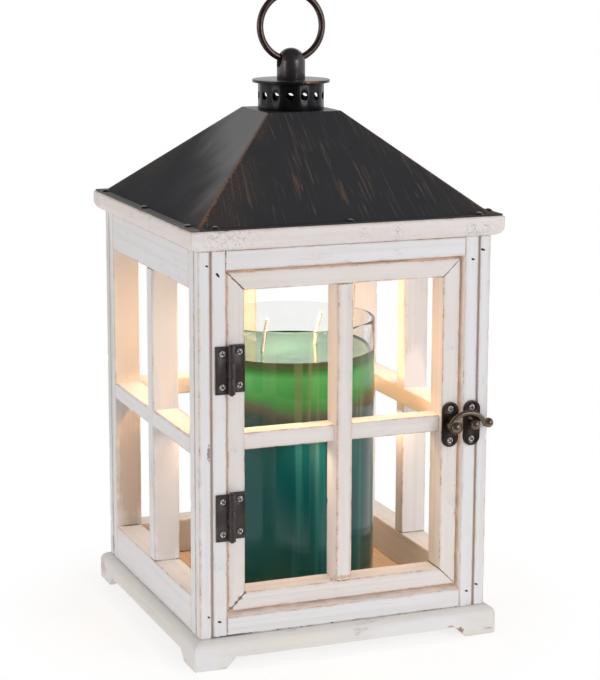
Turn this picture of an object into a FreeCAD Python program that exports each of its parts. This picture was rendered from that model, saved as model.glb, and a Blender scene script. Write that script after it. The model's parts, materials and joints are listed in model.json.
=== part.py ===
import FreeCAD, Part
import os
import re

from FreeCAD import Placement, Rotation, Vector

# Candle warmer in the form of a square wooden lantern: a footed base, four glazed-bar sides, the
# front one a hinged door with a swing-hook catch, a sheet-metal roof with a vent and a carrying
# ring, and a halogen lamp above the candle. Millimetres, +Z up, the front towards -Y, the origin
# in the middle of the footprint on the surface that the feet stand on.

doc = FreeCAD.newDocument("candle_warmer_lantern")
sheet = doc.addObject("Spreadsheet::Sheet", "Sizes")

# Driving dimensions: alias, millimetres (or a count), what it is.
SIZES = (
    ("body_width", 170.0, "outer width and depth over the corner posts"),
    ("frame_height", 211.8, "height of the posts, between base and cornice"),
    ("post_size", 15.5, "side of a square corner post, and depth of the rails"),
    ("groove_inset", 7.0, "from a post's outer corner to its groove"),
    ("groove_width", 1.5, "width of the groove in a post"),
    ("groove_depth", 1.6, "depth of the groove in a post"),
    ("base_height", 16.5, "base, from the ground to the frame"),
    ("base_overhang", 5.0, "how far the base stands out past the posts"),
    ("base_round", 5.0, "radius along the base's upper outer edge"),
    ("foot_length", 18.0, "a foot along the ground"),
    ("foot_height", 6.0, "ground to the arch between two feet"),
    ("floor_thickness", 6.0, "floor board"),
    ("floor_lap", 5.0, "how far the floor board runs under the rails"),
    ("floor_ledge", 8.5, "how far the base mouldings reach under the floor board"),
    ("wood_clearance", 0.25, "play round a loose wooden board"),
    ("cornice_height", 11.2, "cornice moulding"),
    ("cornice_overhang", 5.5, "how far the cornice stands out past the posts"),
    ("cornice_round", 5.5, "radius along the cornice's lower outer edge"),
    ("front_top_rail", 10.8, "height of the rail over the door"),
    ("front_bottom_rail", 10.9, "height of the rail under the door"),
    ("side_top_rail", 21.8, "height of the top rail of a glazed side"),
    ("side_bottom_rail", 20.6, "height of the bottom rail of a glazed side"),
    ("side_bar", 9.8, "width of the bars of a glazed side"),
    ("side_bar_height", 104.7, "middle of a side crossbar above the base"),
    ("brad_radius", 0.6, "finishing nail"),
    ("brad_length", 25.0, "finishing nail"),
    ("brad_outer_inset", 5.0, "outer nail from the body's side"),
    ("brad_inner_inset", 11.0, "inner nail from the body's side"),
    ("brad_outer_drop", 7.8, "outer upper nail below the frame's top"),
    ("brad_inner_drop", 12.8, "inner upper nail below the frame's top"),
    ("brad_outer_rise", 12.3, "outer lower nail above the base"),
    ("brad_inner_rise", 9.0, "inner lower nail above the base"),
    ("door_gap", 1.5, "gap beside and above the door"),
    ("door_gap_below", 2.2, "gap under the door"),
    ("door_recess", 3.0, "door's face behind the face of the posts"),
    ("door_thickness", 15.0, "door frame and bars"),
    ("door_member", 10.0, "width of a door stile or rail"),
    ("door_bar", 9.4, "width of the bars in the door"),
    ("door_bar_recess", 3.0, "door's crossbar behind its upright"),
    ("door_bar_height", 106.6, "middle of the door's crossbar above the base"),
    ("hinge_height", 26.0, "length of a hinge leaf"),
    ("hinge_upper", 147.9, "middle of the upper hinge above the base"),
    ("hinge_lower", 67.1, "middle of the lower hinge above the base"),
    ("leaf_thickness", 1.0, "hinge leaf"),
    ("leaf_reach", 8.6, "frame leaf's edge from the pin's axis"),
    ("door_leaf_reach", 9.0, "door leaf's edge from the pin's axis"),
    ("knuckle_radius", 2.0, "hinge knuckle"),
    ("pin_radius", 1.0, "hinge pin"),
    ("pin_running", 0.05, "radial clearance of a turning bore"),
    ("pin_inset", 0.8, "pin's axis inside the door's edge"),
    ("pin_tip", 0.8, "pin beyond the knuckles at each end"),
    ("knuckle_gap", 0.15, "axial gap between two knuckles"),
    ("hinge_swing_gap", 0.4, "clearance round a swinging knuckle"),
    ("hinge_screw_spacing", 18.0, "between the two screws of a leaf"),
    ("frame_screw_inset", 4.7, "frame leaf's screws from the pin's axis"),
    ("door_screw_inset", 6.0, "door leaf's screws from the pin's axis"),
    ("screw_head_radius", 1.9, "cross-head screw"),
    ("screw_head_height", 1.1, "cross-head screw"),
    ("screw_radius", 1.1, "screw shank"),
    ("screw_length", 9.0, "screw shank under the head"),
    ("screw_slot", 0.6, "width of the cross in a screw head"),
    ("screw_slot_length", 2.6, "length of the cross in a screw head"),
    ("screw_slot_depth", 0.7, "depth of the cross in a screw head"),
    ("dimple_radius", 2.5, "dimple round a screw in a leaf or plate"),
    ("dimple_depth", 0.35, "dimple round a screw in a leaf or plate"),
    ("latch_plate_width", 10.0, "latch plate and strike plate"),
    ("latch_plate_height", 25.6, "latch plate and strike plate"),
    ("latch_plate_thickness", 1.2, "latch plate and strike plate"),
    ("latch_height", 106.3, "latch's pivot above the base"),
    ("strike_rise", 0.7, "strike's knob above the latch's pivot"),
    ("latch_plate_inset", 5.0, "middle of the latch plate inside the door's edge"),
    ("strike_gap", 0.2, "strike plate beside the post's inner edge"),
    ("latch_screw_spacing", 18.0, "between the two screws of a latch plate"),
    ("latch_stand_off", 4.6, "latch plate to the back of the hook"),
    ("hook_thickness", 3.2, "hook, from back to front"),
    ("hook_width", 3.0, "hook's arm in its own plane"),
    ("hook_clearance", 0.78, "inside of the hook's arm round the strike's knob"),
    ("hook_start", 20.0, "hook's arm from here, degrees"),
    ("hook_sweep", 128.0, "hook's arm over this angle, degrees"),
    ("hook_centre_out", 7.6, "middle of the hook's curve beside the pivot"),
    ("hook_centre_down", 4.5, "middle of the hook's curve below the pivot"),
    ("hook_eye_radius", 3.9, "hook's eye round the pivot"),
    ("hook_ball_radius", 2.8, "ball at the hook's end"),
    ("hook_ball_out", 1.6, "middle of the ball beside the end of the arm"),
    ("hook_ball_up", 1.3, "middle of the ball above the end of the arm"),
    ("pivot_radius", 1.8, "latch rivet's shank"),
    ("pivot_collar_radius", 3.3, "collar behind the hook"),
    ("pivot_dome_radius", 3.1, "rivet's domed head"),
    ("pivot_dome_height", 1.9, "rivet's domed head"),
    ("hook_side_gap", 0.2, "hook to collar and to head, along the pivot"),
    ("strike_shank_radius", 1.6, "strike's neck"),
    ("strike_knob_radius", 3.0, "strike's round knob"),
    ("strike_knob_ahead", 0.6, "middle of the knob in front of the middle of the hook"),
    ("sheet", 0.9, "thickness of the roof's sheet metal"),
    ("roof_flange_inset", 0.7, "roof's flange inside the cornice's edge"),
    ("roof_flange_width", 5.3, "flat nailing flange"),
    ("roof_rise", 52.4, "slope of the roof, from flange to flat top"),
    ("roof_top_half", 21.9, "half the flat top of the roof"),
    ("roof_wall", 1.4, "horizontal thickness of the sloping sheet"),
    ("roof_vent_radius", 15.0, "hole in the roof's flat top"),
    ("roof_nail_radius", 0.8, "roof nail's shank"),
    ("roof_nail_length", 9.0, "roof nail under the head"),
    ("roof_nail_margin", 0.15, "flange left on each side of a nail's head"),
    ("roof_nail_dome", 1.5, "height of a roof nail's head"),
    ("roof_nail_corner", 13.8, "outer roof nails from the flange's corner"),
    ("collar_radius", 18.6, "vent collar, outside"),
    ("collar_wall", 1.0, "vent collar"),
    ("collar_height", 15.0, "vent collar"),
    ("vent_hole_radius", 2.2, "holes round the collar"),
    ("vent_hole_height", 8.0, "holes above the roof's flat top"),
    ("vent_hole_count", 14.0, "holes round the collar"),
    ("vent_first_angle", 246.9, "direction of the first hole, degrees"),
    ("cap_radius", 21.9, "vent cap"),
    ("cap_thickness", 1.7, "vent cap"),
    ("finial_radius", 8.0, "finial"),
    ("finial_neck", 9.5, "finial's straight part above the cap"),
    ("finial_bore_height", 10.9, "ring's bore above the cap"),
    ("finial_stud_radius", 3.0, "stud through the cap"),
    ("finial_rivet_radius", 4.6, "stud's head under the cap"),
    ("finial_rivet_height", 1.5, "stud's head under the cap"),
    ("ring_radius", 18.6, "carrying ring, to the middle of its wire"),
    ("ring_wire_radius", 1.95, "carrying ring's wire"),
    ("ring_clearance", 0.3, "round the wire at the neck of the flare"),
    ("bore_relief", 0.05, "finial's drilled bore wider than the neck of its flare"),
    ("ceiling_lift", 2.5, "ceiling plate above the lower edge of the side rails"),
    ("ceiling_sheet", 1.0, "ceiling plate and lamp can"),
    ("ceiling_flange", 8.0, "upturned edge of the ceiling plate"),
    ("ceiling_door_gap", 1.5, "ceiling plate behind the door"),
    ("lamp_hole_air", 2.0, "hole in the ceiling plate round the bulb"),
    ("can_air", 3.5, "lamp can round the bulb"),
    ("can_flange_width", 7.5, "lamp can's flange"),
    ("can_vent_radius", 3.5, "vent holes round the can"),
    ("can_vent_drop", 9.0, "vent holes below the can's top"),
    ("can_vent_count", 8.0, "vent holes round the can"),
    ("can_outlet_radius", 4.0, "lead's hole in the can's top"),
    ("bulb_radius", 25.0, "reflector bulb's face"),
    ("bulb_rim", 5.0, "straight rim behind the face"),
    ("bulb_bell", 33.0, "face to the end of the bell"),
    ("bulb_neck_radius", 12.5, "bulb's neck"),
    ("bulb_length", 48.0, "face to the end of the neck"),
    ("bulb_lift", 3.0, "face above the ceiling plate"),
    ("socket_wall", 3.5, "lamp socket round the bulb's neck"),
    ("socket_height", 17.0, "lamp socket"),
    ("socket_grip", 6.0, "how far the socket holds the neck"),
    ("lamp_screw_inset", 40.0, "ceiling plate's screws from the middle"),
    ("lamp_screw_drop", 3.6, "ceiling plate's screws below its flange's edge"),
    ("gland_radius", 4.2, "cord gland in the rail"),
    ("gland_flange_radius", 6.0, "cord gland outside the rail"),
    ("gland_flange_depth", 2.4, "cord gland outside the rail"),
    ("gland_lip_radius", 4.5, "snap lip inside the rail"),
    ("gland_lip_depth", 2.0, "snap lip inside the rail"),
    ("gland_bore_radius", 2.8, "cord's bore"),
    ("gland_drop", 7.5, "cord gland below the frame's top"),
    ("gland_offset", 32.0, "cord gland beside the middle of the back"),
    ("jar_radius", 49.0, "candle jar"),
    ("jar_height", 157.0, "candle jar"),
    ("jar_wall", 2.4, "candle jar"),
    ("jar_base", 6.0, "candle jar's bottom"),
    ("jar_round", 2.0, "candle jar's lower edge"),
    ("wax_drop", 17.7, "wax below the jar's rim"),
    ("wick_radius", 0.9, "wick"),
    ("wick_stand", 18.0, "wick above the wax"),
    ("wick_out", 18.0, "wicks from the middle, across"),
    ("wick_back", 4.0, "wicks from the middle, front to back"),
)
for row, (alias, size, meaning) in enumerate(SIZES, start=1):
    sheet.set("A%d" % row, meaning)
    sheet.set("B%d" % row, str(size))
    sheet.setAlias("B%d" % row, alias)
doc.recompute()

# Places that follow from the driving dimensions.
DERIVED = {
    "body_half": "body_width / 2",
    "inner_half": "body_half - post_size",
    "frame_top": "base_height + frame_height",
    "base_half": "body_half + base_overhang",
    "floor_half": "inner_half + floor_lap",
    "skirt_inner": "floor_half - floor_ledge",
    "cornice_half": "body_half + cornice_overhang",
    "cornice_top": "frame_top + cornice_height",
    "side_bar_low": "base_height + side_bar_height - side_bar / 2",
    "side_clear_low": "base_height + side_bottom_rail",
    "side_clear_height": "frame_height - side_bottom_rail - side_top_rail",
    "door_half": "inner_half - door_gap",
    "door_low": "base_height + front_bottom_rail + door_gap_below",
    "door_high": "frame_top - front_top_rail - door_gap",
    "door_face": "body_half - door_recess",
    "door_back": "door_face - door_thickness",
    "door_clear_half": "door_half - door_member",
    "door_clear_low": "door_low + door_member",
    "door_clear_high": "door_high - door_member",
    "door_bar_low": "base_height + door_bar_height - door_bar / 2",
    "pin_x": "door_half - pin_inset",
    "pin_y": "body_half + knuckle_radius",
    "knuckle_height": "hinge_height / 3",
    "latch_x": "door_half - latch_plate_inset",
    "latch_z": "base_height + latch_height",
    "strike_x": "inner_half + strike_gap + latch_plate_width / 2",
    "strike_z": "latch_z + strike_rise",
    "latch_front": "door_face + latch_plate_thickness",
    "strike_front": "body_half + latch_plate_thickness",
    "hook_back": "latch_front + latch_stand_off",
    "hook_front": "hook_back + hook_thickness",
    "hook_mid": "hook_back + hook_thickness / 2",
    "hook_centre_x": "latch_x + hook_centre_out",
    "hook_centre_z": "latch_z - hook_centre_down",
    "knob_offset": "((strike_x - hook_centre_x) ^ 2 + (strike_z - hook_centre_z) ^ 2) ^ 0.5",
    "arm_radius": "hook_width / 2",
    "arm_curve": "knob_offset + strike_knob_radius + hook_clearance + arm_radius",
    "knob_y": "hook_mid + strike_knob_ahead",
    "roof_flange_half": "cornice_half - roof_flange_inset",
    "roof_slope_half": "roof_flange_half - roof_flange_width",
    "flange_top": "cornice_top + sheet",
    "roof_top": "flange_top + roof_rise",
    "roof_run": "roof_slope_half - roof_top_half",
    "nail_line": "roof_flange_half - roof_flange_width / 2",
    "nail_span": "roof_flange_half - roof_nail_corner",
    "nail_head": "roof_flange_width / 2 - roof_nail_margin",
    "cap_low": "roof_top + collar_height",
    "cap_top": "cap_low + cap_thickness",
    "ring_pivot": "cap_top + finial_bore_height",
    "ceiling_low": "frame_top - side_top_rail + ceiling_lift",
    "ceiling_top": "ceiling_low + ceiling_sheet",
    "ceiling_front": "door_back - ceiling_door_gap",
    "bulb_face": "ceiling_top + bulb_lift",
    "socket_low": "bulb_face + bulb_length - socket_grip",
    "can_top": "socket_low + socket_height + ceiling_sheet",
    "can_radius": "bulb_radius + can_air + ceiling_sheet",
    "lamp_screw_z": "ceiling_low + ceiling_flange - lamp_screw_drop",
    "gland_z": "frame_top - gland_drop",
    "jar_bore": "jar_radius - jar_wall",
    "wax_top": "jar_height - wax_drop",
}
ALIASES = {alias for alias, size, meaning in SIZES}
WORD = re.compile(r"[a-z][a-z_]*")


def formula(text):
    """The text as a document expression: every name but a function's becomes a cell of the sheet."""
    def cell(match):
        word = match.group(0)
        if word in ("cos", "sin"):
            return word
        if word in ALIASES:
            return "Sizes." + word
        return "(" + formula(DERIVED[word]) + ")"
    return WORD.sub(cell, text)


def bind(thing, **links):
    """Tie properties to formulas; an underscore in a keyword stands for a dot."""
    for name, text in links.items():
        thing.setExpression(name.replace("_", "."), formula(text))
    return thing


def mm(alias):
    """A driving dimension as a number."""
    return float(sheet.get(alias))


def place(thing, x, y, z):
    thing.setExpression("Placement.Base.x", formula(x))
    thing.setExpression("Placement.Base.y", formula(y))
    thing.setExpression("Placement.Base.z", formula(z))
    return thing


def block(x, y, z, length, width, height):
    """A box from its low corner."""
    box = doc.addObject("Part::Box", "Block")
    bind(box, Length=length, Width=width, Height=height)
    return place(box, x, y, z)


ALONG = {
    "x": Rotation(Vector(0, 1, 0), 90),
    "y": Rotation(Vector(1, 0, 0), -90),
    "z": Rotation(),
}


def rod(axis, x, y, z, radius, length):
    """A cylinder from the middle of its low end."""
    bar = doc.addObject("Part::Cylinder", "Rod")
    bar.Placement = Placement(Vector(), ALONG[axis])
    bind(bar, Radius=radius, Height=length)
    return place(bar, x, y, z)


def ball(x, y, z, radius):
    sphere = doc.addObject("Part::Sphere", "Ball")
    bind(sphere, Radius=radius)
    return place(sphere, x, y, z)


# Turns that lay a wedge's own Y axis, from its first face to its second, along a row axis.
WEDGE_FLAT = Rotation()
WEDGE_UP = Rotation(Vector(1, 0, 0), 90)
WEDGE_ACROSS = Rotation(Vector(1, 1, 1), -120)


def wedge(turn, near, far, near_half, far_half, low, high, mid="0"):
    """A trapezoid bar: half-lengths near_half and far_half at the distances near and far."""
    bar = doc.addObject("Part::Wedge", "Wedge")
    bar.Placement = Placement(Vector(), turn)
    bind(bar, Ymin=near, Ymax=far, Zmin=low, Z2min=low, Zmax=high, Z2max=high)
    bind(bar, Xmin="%s - (%s)" % (mid, near_half), Xmax="%s + (%s)" % (mid, near_half))
    return bind(bar, X2min="%s - (%s)" % (mid, far_half), X2max="%s + (%s)" % (mid, far_half))


def frustum(low, high, low_half, high_half):
    """A square pyramid's frustum about the vertical axis."""
    body = doc.addObject("Part::Wedge", "Frustum")
    body.Placement = Placement(Vector(), WEDGE_UP)
    bind(body, Ymin=low, Ymax=high)
    bind(body, Xmin="-(%s)" % low_half, Xmax=low_half, Zmin="-(%s)" % low_half, Zmax=low_half)
    bind(body, X2min="-(%s)" % high_half, X2max=high_half)
    return bind(body, Z2min="-(%s)" % high_half, Z2max=high_half)


def joined(*things):
    union = doc.addObject("Part::MultiFuse", "Union")
    union.Shapes = list(things)
    return union


def cut(base, *tools):
    result = doc.addObject("Part::Cut", "Cut")
    result.Base = base
    result.Tool = tools[0] if len(tools) == 1 else joined(*tools)
    return result


def group(things):
    """Identical fasteners that share a node: separate solids in one compound."""
    batch = doc.addObject("Part::Compound", "Group")
    batch.Links = list(things)
    return batch


PARTS = {}


def piece(name, thing, turn=0):
    """Name a finished sub-part and turn it about the vertical axis to its side."""
    thing.Label = name
    if turn:
        thing.Placement = Placement(Vector(), Rotation(Vector(0, 0, 1), turn))
    PARTS[name] = thing
    return thing


# Each side is a quarter turn on from the one before it.
SIDES = [(side, 360 / 4 * index) for index, side in enumerate(("back", "left", "front", "right"))]
CORNERS = (
    ("front_left", -1, -1),
    ("front_right", 1, -1),
    ("back_left", -1, 1),
    ("back_right", 1, 1),
)
FACING_FRONT = Rotation(Vector(1, 0, 0), 90)
FACING_RIGHT = Rotation(Vector(0, 1, 0), 90)
FACING_LEFT = Rotation(Vector(0, 1, 0), -90)


def mirrored(sign, text):
    return text if sign > 0 else "-(%s)" % text


def low_edge(sign, near, far):
    """Low end of the span from near to far, on the positive or the negative side."""
    return near if sign > 0 else "-(%s)" % far


def dome(radius, height):
    """A spherical cap that stands on the origin."""
    crown = "(((%s) ^ 2 + (%s) ^ 2) / (2 * (%s)))" % (radius, height, height)
    sphere = ball("0", "0", "%s - %s" % (height, crown), crown)
    above = block("-" + crown, "-" + crown, "0", "2 * " + crown, "2 * " + crown, "2 * " + crown)
    cap = doc.addObject("Part::Common", "Dome")
    cap.Base = sphere
    cap.Tool = above
    return cap


def facing(thing, turn, x, y, z):
    """Turn a thing that was built on the origin and move it to its place."""
    thing.Placement = Placement(Vector(), turn)
    return place(thing, x, y, z)


def screw(turn, spin, x, y, z):
    """A cross-head screw; the point is in the middle of its head's underside."""
    shank = rod("z", "0", "0", "-screw_length", "screw_radius", "screw_length")
    head = dome("screw_head_radius", "screw_head_height")
    depth = "screw_head_height - screw_slot_depth"
    half_slot = "-screw_slot / 2"
    half_long = "-screw_slot_length / 2"
    slot_one = block(half_slot, half_long, depth, "screw_slot", "screw_slot_length", "screw_head_height")
    slot_two = block(half_long, half_slot, depth, "screw_slot_length", "screw_slot", "screw_head_height")
    driven = cut(joined(shank, head), slot_one, slot_two)
    return facing(driven, turn * Rotation(Vector(0, 0, 1), spin), x, y, z)


def front_hole(x, y, z):
    """The pilot hole of a front screw whose head stands on the point."""
    return rod("y", x, y, z, "screw_radius", "screw_length")


def front_dimple(x, y, z):
    """The dimple in a leaf or plate whose front is at y."""
    return rod("y", x, "%s - 1" % y, z, "dimple_radius", "dimple_depth + 1")


def spokes(count, first, z, radius, length):
    """Rods from the vertical axis outwards, evenly spread."""
    rods = []
    for index in range(count):
        bar = rod("x", "0", "0", z, radius, length)
        bearing = Rotation(Vector(0, 0, 1), first + index * 360.0 / count)
        bar.Placement = Placement(Vector(), bearing * ALONG["x"])
        rods.append(place(bar, "0", "0", z))
    return rods


# Base: four mitred mouldings on bracket feet, and the board let into them.
def base_moulding(name, turn):
    board = wedge(WEDGE_FLAT, "skirt_inner", "base_half", "skirt_inner", "base_half", "0", "base_height")
    length = "2 * base_half + 2"
    edge = block("-base_half - 1", "base_half - base_round", "base_height - base_round",
                 length, "base_round + 1", "base_round + 1")
    core = rod("x", "-base_half - 1", "base_half - base_round", "base_height - base_round",
               "base_round", length)
    arch = wedge(WEDGE_UP, "-1", "foot_height", "base_half - foot_length + 1",
                 "base_half - foot_length - foot_height", "-base_half - 1", "1 - skirt_inner")
    bed = block("-floor_half - wood_clearance", "0", "base_height - floor_thickness",
                "2 * (floor_half + wood_clearance)", "floor_half + wood_clearance", "floor_thickness + 1")
    piece(name, cut(board, cut(edge, core), arch, bed), turn)


for side, turn in SIDES:
    base_moulding("base_skirt_" + side, turn)
piece("floor_board", block("-floor_half", "-floor_half", "base_height - floor_thickness",
                           "2 * floor_half", "2 * floor_half", "floor_thickness"))

# Finishing nails: through the front and back posts into the ends of the side rails.
BRADS = (
    ("brad_outer_inset", "frame_top - brad_outer_drop"),
    ("brad_inner_inset", "frame_top - brad_inner_drop"),
    ("brad_outer_inset", "base_height + brad_outer_rise"),
    ("brad_inner_inset", "base_height + brad_inner_rise"),
)


def post_brads(side, end):
    """The nails of one corner: side is its sign across, end its sign from front to back."""
    along = low_edge(end, "body_half - brad_length", "body_half")
    return [rod("y", mirrored(side, "(body_half - %s)" % inset), along, height, "brad_radius", "brad_length")
            for inset, height in BRADS]


def rail_brads(heights):
    """The same nails as they meet a side rail that is still on the back side."""
    return [rod("x", low_edge(end, "body_half - brad_length", "body_half"), "body_half - " + inset, height,
                "brad_radius", "brad_length")
            for inset, height in heights for end in (-1, 1)]


piece("frame_brads", group(nail for name, sx, sy in CORNERS for nail in post_brads(sx, sy)))

# Screws in the front of the frame and of the door: middle of the head's underside.
HINGES = (("upper", "hinge_upper"), ("lower", "hinge_lower"))
FRAME_LEAF_SCREWS = [
    ("-pin_x - frame_screw_inset", "dimple_depth - body_half - leaf_thickness",
     "base_height + %s %s hinge_screw_spacing / 2" % (middle, sign))
    for name, middle in HINGES for sign in "+-"
]
DOOR_LEAF_SCREWS = [
    ("door_screw_inset - pin_x", "dimple_depth - door_face - leaf_thickness",
     "base_height + %s %s hinge_screw_spacing / 2" % (middle, sign))
    for name, middle in HINGES for sign in "+-"
]
STRIKE_SCREWS = [
    ("strike_x", "dimple_depth - strike_front", "strike_z %s latch_screw_spacing / 2" % sign) for sign in "+-"
]
LATCH_SCREWS = [
    ("latch_x", "dimple_depth - latch_front", "latch_z %s latch_screw_spacing / 2" % sign) for sign in "+-"
]
LAMP_SCREWS = [
    (side, "%s lamp_screw_inset" % sign, "lamp_screw_z") for side in (-1, 1) for sign in "-+"
]


# Corner posts, with a groove down both outer faces.
def corner_post(name, sx, sy):
    x_low = low_edge(sx, "inner_half", "body_half")
    y_low = low_edge(sy, "inner_half", "body_half")
    post = block(x_low, y_low, "base_height", "post_size", "post_size", "frame_height")
    near = "body_half - groove_inset - groove_width / 2"
    far = "body_half - groove_inset + groove_width / 2"
    deep = "groove_depth + 1"
    tall = "frame_height + 2"
    floor = "body_half - groove_depth"
    side_groove = block(low_edge(sx, floor, "body_half + 1"), low_edge(sy, near, far), "base_height - 1",
                        deep, "groove_width", tall)
    face_groove = block(low_edge(sx, near, far), low_edge(sy, floor, "body_half + 1"), "base_height - 1",
                        "groove_width", deep, tall)
    holes = post_brads(sx, sy)
    if sy < 0:
        screws = FRAME_LEAF_SCREWS if sx < 0 else STRIKE_SCREWS
        holes += [front_hole(*spot) for spot in screws]
    piece("corner_post_" + name, cut(post, side_groove, face_groove, *holes))


for corner in CORNERS:
    corner_post(*corner)

# Front rails, above and below the door.
piece("front_top_rail", block("-inner_half", "-body_half", "frame_top - front_top_rail",
                              "2 * inner_half", "post_size", "front_top_rail"))
piece("front_bottom_rail", block("-inner_half", "-body_half", "base_height",
                                 "2 * inner_half", "post_size", "front_bottom_rail"))


# The other sides: two rails, an upright and a crossbar that are halved into each other.
def glazed_side(side, turn):
    top = block("-inner_half", "inner_half", "frame_top - side_top_rail",
                "2 * inner_half", "post_size", "side_top_rail")
    bottom = block("-inner_half", "inner_half", "base_height",
                   "2 * inner_half", "post_size", "side_bottom_rail")
    upright = block("-side_bar / 2", "inner_half", "side_clear_low",
                    "side_bar", "post_size", "side_clear_height")
    bar = block("-inner_half", "inner_half", "side_bar_low", "2 * inner_half", "post_size", "side_bar")
    inner_notch = block("-side_bar / 2 - 1", "inner_half - 1", "side_bar_low",
                        "side_bar + 2", "post_size / 2 + 1", "side_bar")
    outer_notch = block("-side_bar / 2", "inner_half + post_size / 2", "side_bar_low - 1",
                        "side_bar", "post_size / 2 + 1", "side_bar + 2")
    if side == "back":
        top = cut(top, rod("y", "gland_offset", "inner_half - 1", "gland_z", "gland_radius", "post_size + 2"))
    else:
        screws = [rod("y", "%s lamp_screw_inset" % sign, "inner_half - ceiling_sheet", "lamp_screw_z",
                      "screw_radius", "screw_length") for sign in "-+"]
        top = cut(top, *(screws + rail_brads(BRADS[:2])))
        bottom = cut(bottom, *rail_brads(BRADS[2:]))
    piece(side + "_top_rail", top, turn)
    piece(side + "_bottom_rail", bottom, turn)
    piece(side + "_upright", cut(upright, inner_notch), turn)
    piece(side + "_crossbar", cut(bar, outer_notch), turn)


for side, turn in SIDES:
    if side != "front":
        glazed_side(side, turn)

# Cornice: four mitred mouldings, the roof nails driven into them.
NAILS_ALONG = ("-nail_span", "0", "nail_span")


def roof_nail_hole(x, y):
    return rod("z", x, y, "flange_top - roof_nail_length", "roof_nail_radius", "roof_nail_length + 1")


def cornice_moulding(name, turn):
    board = wedge(WEDGE_FLAT, "inner_half", "cornice_half", "inner_half", "cornice_half",
                  "frame_top", "cornice_top")
    length = "2 * cornice_half + 2"
    edge = block("-cornice_half - 1", "cornice_half - cornice_round", "frame_top - 1",
                 length, "cornice_round + 1", "cornice_round + 1")
    core = rod("x", "-cornice_half - 1", "cornice_half - cornice_round", "frame_top + cornice_round",
               "cornice_round", length)
    holes = [roof_nail_hole(along, "nail_line") for along in NAILS_ALONG]
    piece(name, cut(board, cut(edge, core), *holes), turn)


for side, turn in SIDES:
    cornice_moulding("cornice_" + side, turn)

# Roof: a folded pyramid with a nailing flange and an open flat top.
NAIL_SPOTS = [(along, line) for line in ("nail_line", "-nail_line") for along in NAILS_ALONG]
NAIL_SPOTS += [(line, along) for along, line in NAIL_SPOTS]
flange = block("-roof_flange_half", "-roof_flange_half", "cornice_top",
               "2 * roof_flange_half", "2 * roof_flange_half", "sheet")
slopes = frustum("flange_top", "roof_top", "roof_slope_half", "roof_top_half")
hollow = frustum("cornice_top - 1", "roof_top - sheet",
                 "roof_slope_half + (sheet + 1) * roof_run / roof_rise - roof_wall",
                 "roof_top_half + sheet * roof_run / roof_rise - roof_wall")
vent = rod("z", "0", "0", "roof_top - sheet - 1", "roof_vent_radius", "sheet + 2")
piece("roof_hood", cut(joined(flange, slopes), hollow, vent, *[roof_nail_hole(x, y) for x, y in NAIL_SPOTS]))


def roof_nail(x, y):
    shank = rod("z", "0", "0", "-roof_nail_length", "roof_nail_radius", "roof_nail_length")
    return facing(joined(shank, dome("nail_head", "roof_nail_dome")), Rotation(), x, y, "flange_top")


piece("roof_nails", group(roof_nail(x, y) for x, y in NAIL_SPOTS))

# Vent: a pierced collar under a disc, and the finial that is riveted through the disc.
collar = rod("z", "0", "0", "roof_top", "collar_radius", "collar_height")
collar_bore = rod("z", "0", "0", "roof_top - 1", "collar_radius - collar_wall", "collar_height + 2")
vent_holes = spokes(int(mm("vent_hole_count")), mm("vent_first_angle"), "roof_top + vent_hole_height",
                    "vent_hole_radius", "collar_radius + 1")
piece("vent_collar", cut(collar, collar_bore, *vent_holes))
piece("vent_cap", cut(rod("z", "0", "0", "cap_low", "cap_radius", "cap_thickness"),
                      rod("z", "0", "0", "cap_low - 1", "finial_stud_radius", "cap_thickness + 2")))

knob = joined(
    rod("z", "0", "0", "cap_top", "finial_radius", "finial_neck"),
    ball("0", "0", "cap_top + finial_neck", "finial_radius"),
)
knob = cut(knob, block("-finial_radius - 1", "-finial_radius - 1", "cap_top - finial_radius",
                       "2 * finial_radius + 2", "2 * finial_radius + 2", "finial_radius"))
stud = rod("z", "0", "0", "cap_low", "finial_stud_radius", "cap_thickness + 1")
rivet = rod("z", "0", "0", "cap_low - finial_rivet_height", "finial_rivet_radius", "finial_rivet_height")
# The drilled bore flares to both ends, so that the bent wire of the ring turns freely in it.
bore = rod("x", "-finial_radius - 1", "0", "ring_pivot", "ring_wire_radius + ring_clearance + bore_relief",
           "2 * finial_radius + 2")
reach = "finial_radius + 1"
throat = rod("x", "-(%s)" % reach, "0", "ring_pivot", "ring_radius", "2 * (%s)" % reach)
flare = doc.addObject("Part::Torus", "Flare")
flare.Placement = Placement(Vector(), ALONG["x"])
bind(flare, Radius1="ring_radius", Radius2="ring_radius - ring_wire_radius - ring_clearance")
place(flare, "0", "0", "ring_pivot")
piece("finial", cut(joined(knob, stud, rivet), bore, cut(throat, flare)))

ring = doc.addObject("Part::Torus", "Ring")
ring.Placement = Placement(Vector(), ALONG["y"])
bind(ring, Radius1="ring_radius", Radius2="ring_wire_radius")
piece("carry_ring", place(ring, "0", "0", "ring_pivot + ring_radius"))

# Lamp: a plate across the top of the candle bay, and a can with socket and reflector bulb on it.
plate_depth = "inner_half + ceiling_front"
plate = block("-inner_half", "-ceiling_front", "ceiling_low", "2 * inner_half", plate_depth, "ceiling_sheet")
left_edge = block("-inner_half", "-ceiling_front", "ceiling_low",
                  "ceiling_sheet", plate_depth, "ceiling_flange")
right_edge = block("inner_half - ceiling_sheet", "-ceiling_front", "ceiling_low",
                   "ceiling_sheet", plate_depth, "ceiling_flange")
lamp_hole = rod("z", "0", "0", "ceiling_low - 1", "bulb_radius + lamp_hole_air", "ceiling_sheet + 2")
plate_holes = [rod("x", "-inner_half - 1", along, height, "screw_radius", "2 * inner_half + 2")
               for side, along, height in LAMP_SCREWS[:2]]
piece("ceiling_plate", cut(joined(plate, left_edge, right_edge), lamp_hole, *plate_holes))

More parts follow.
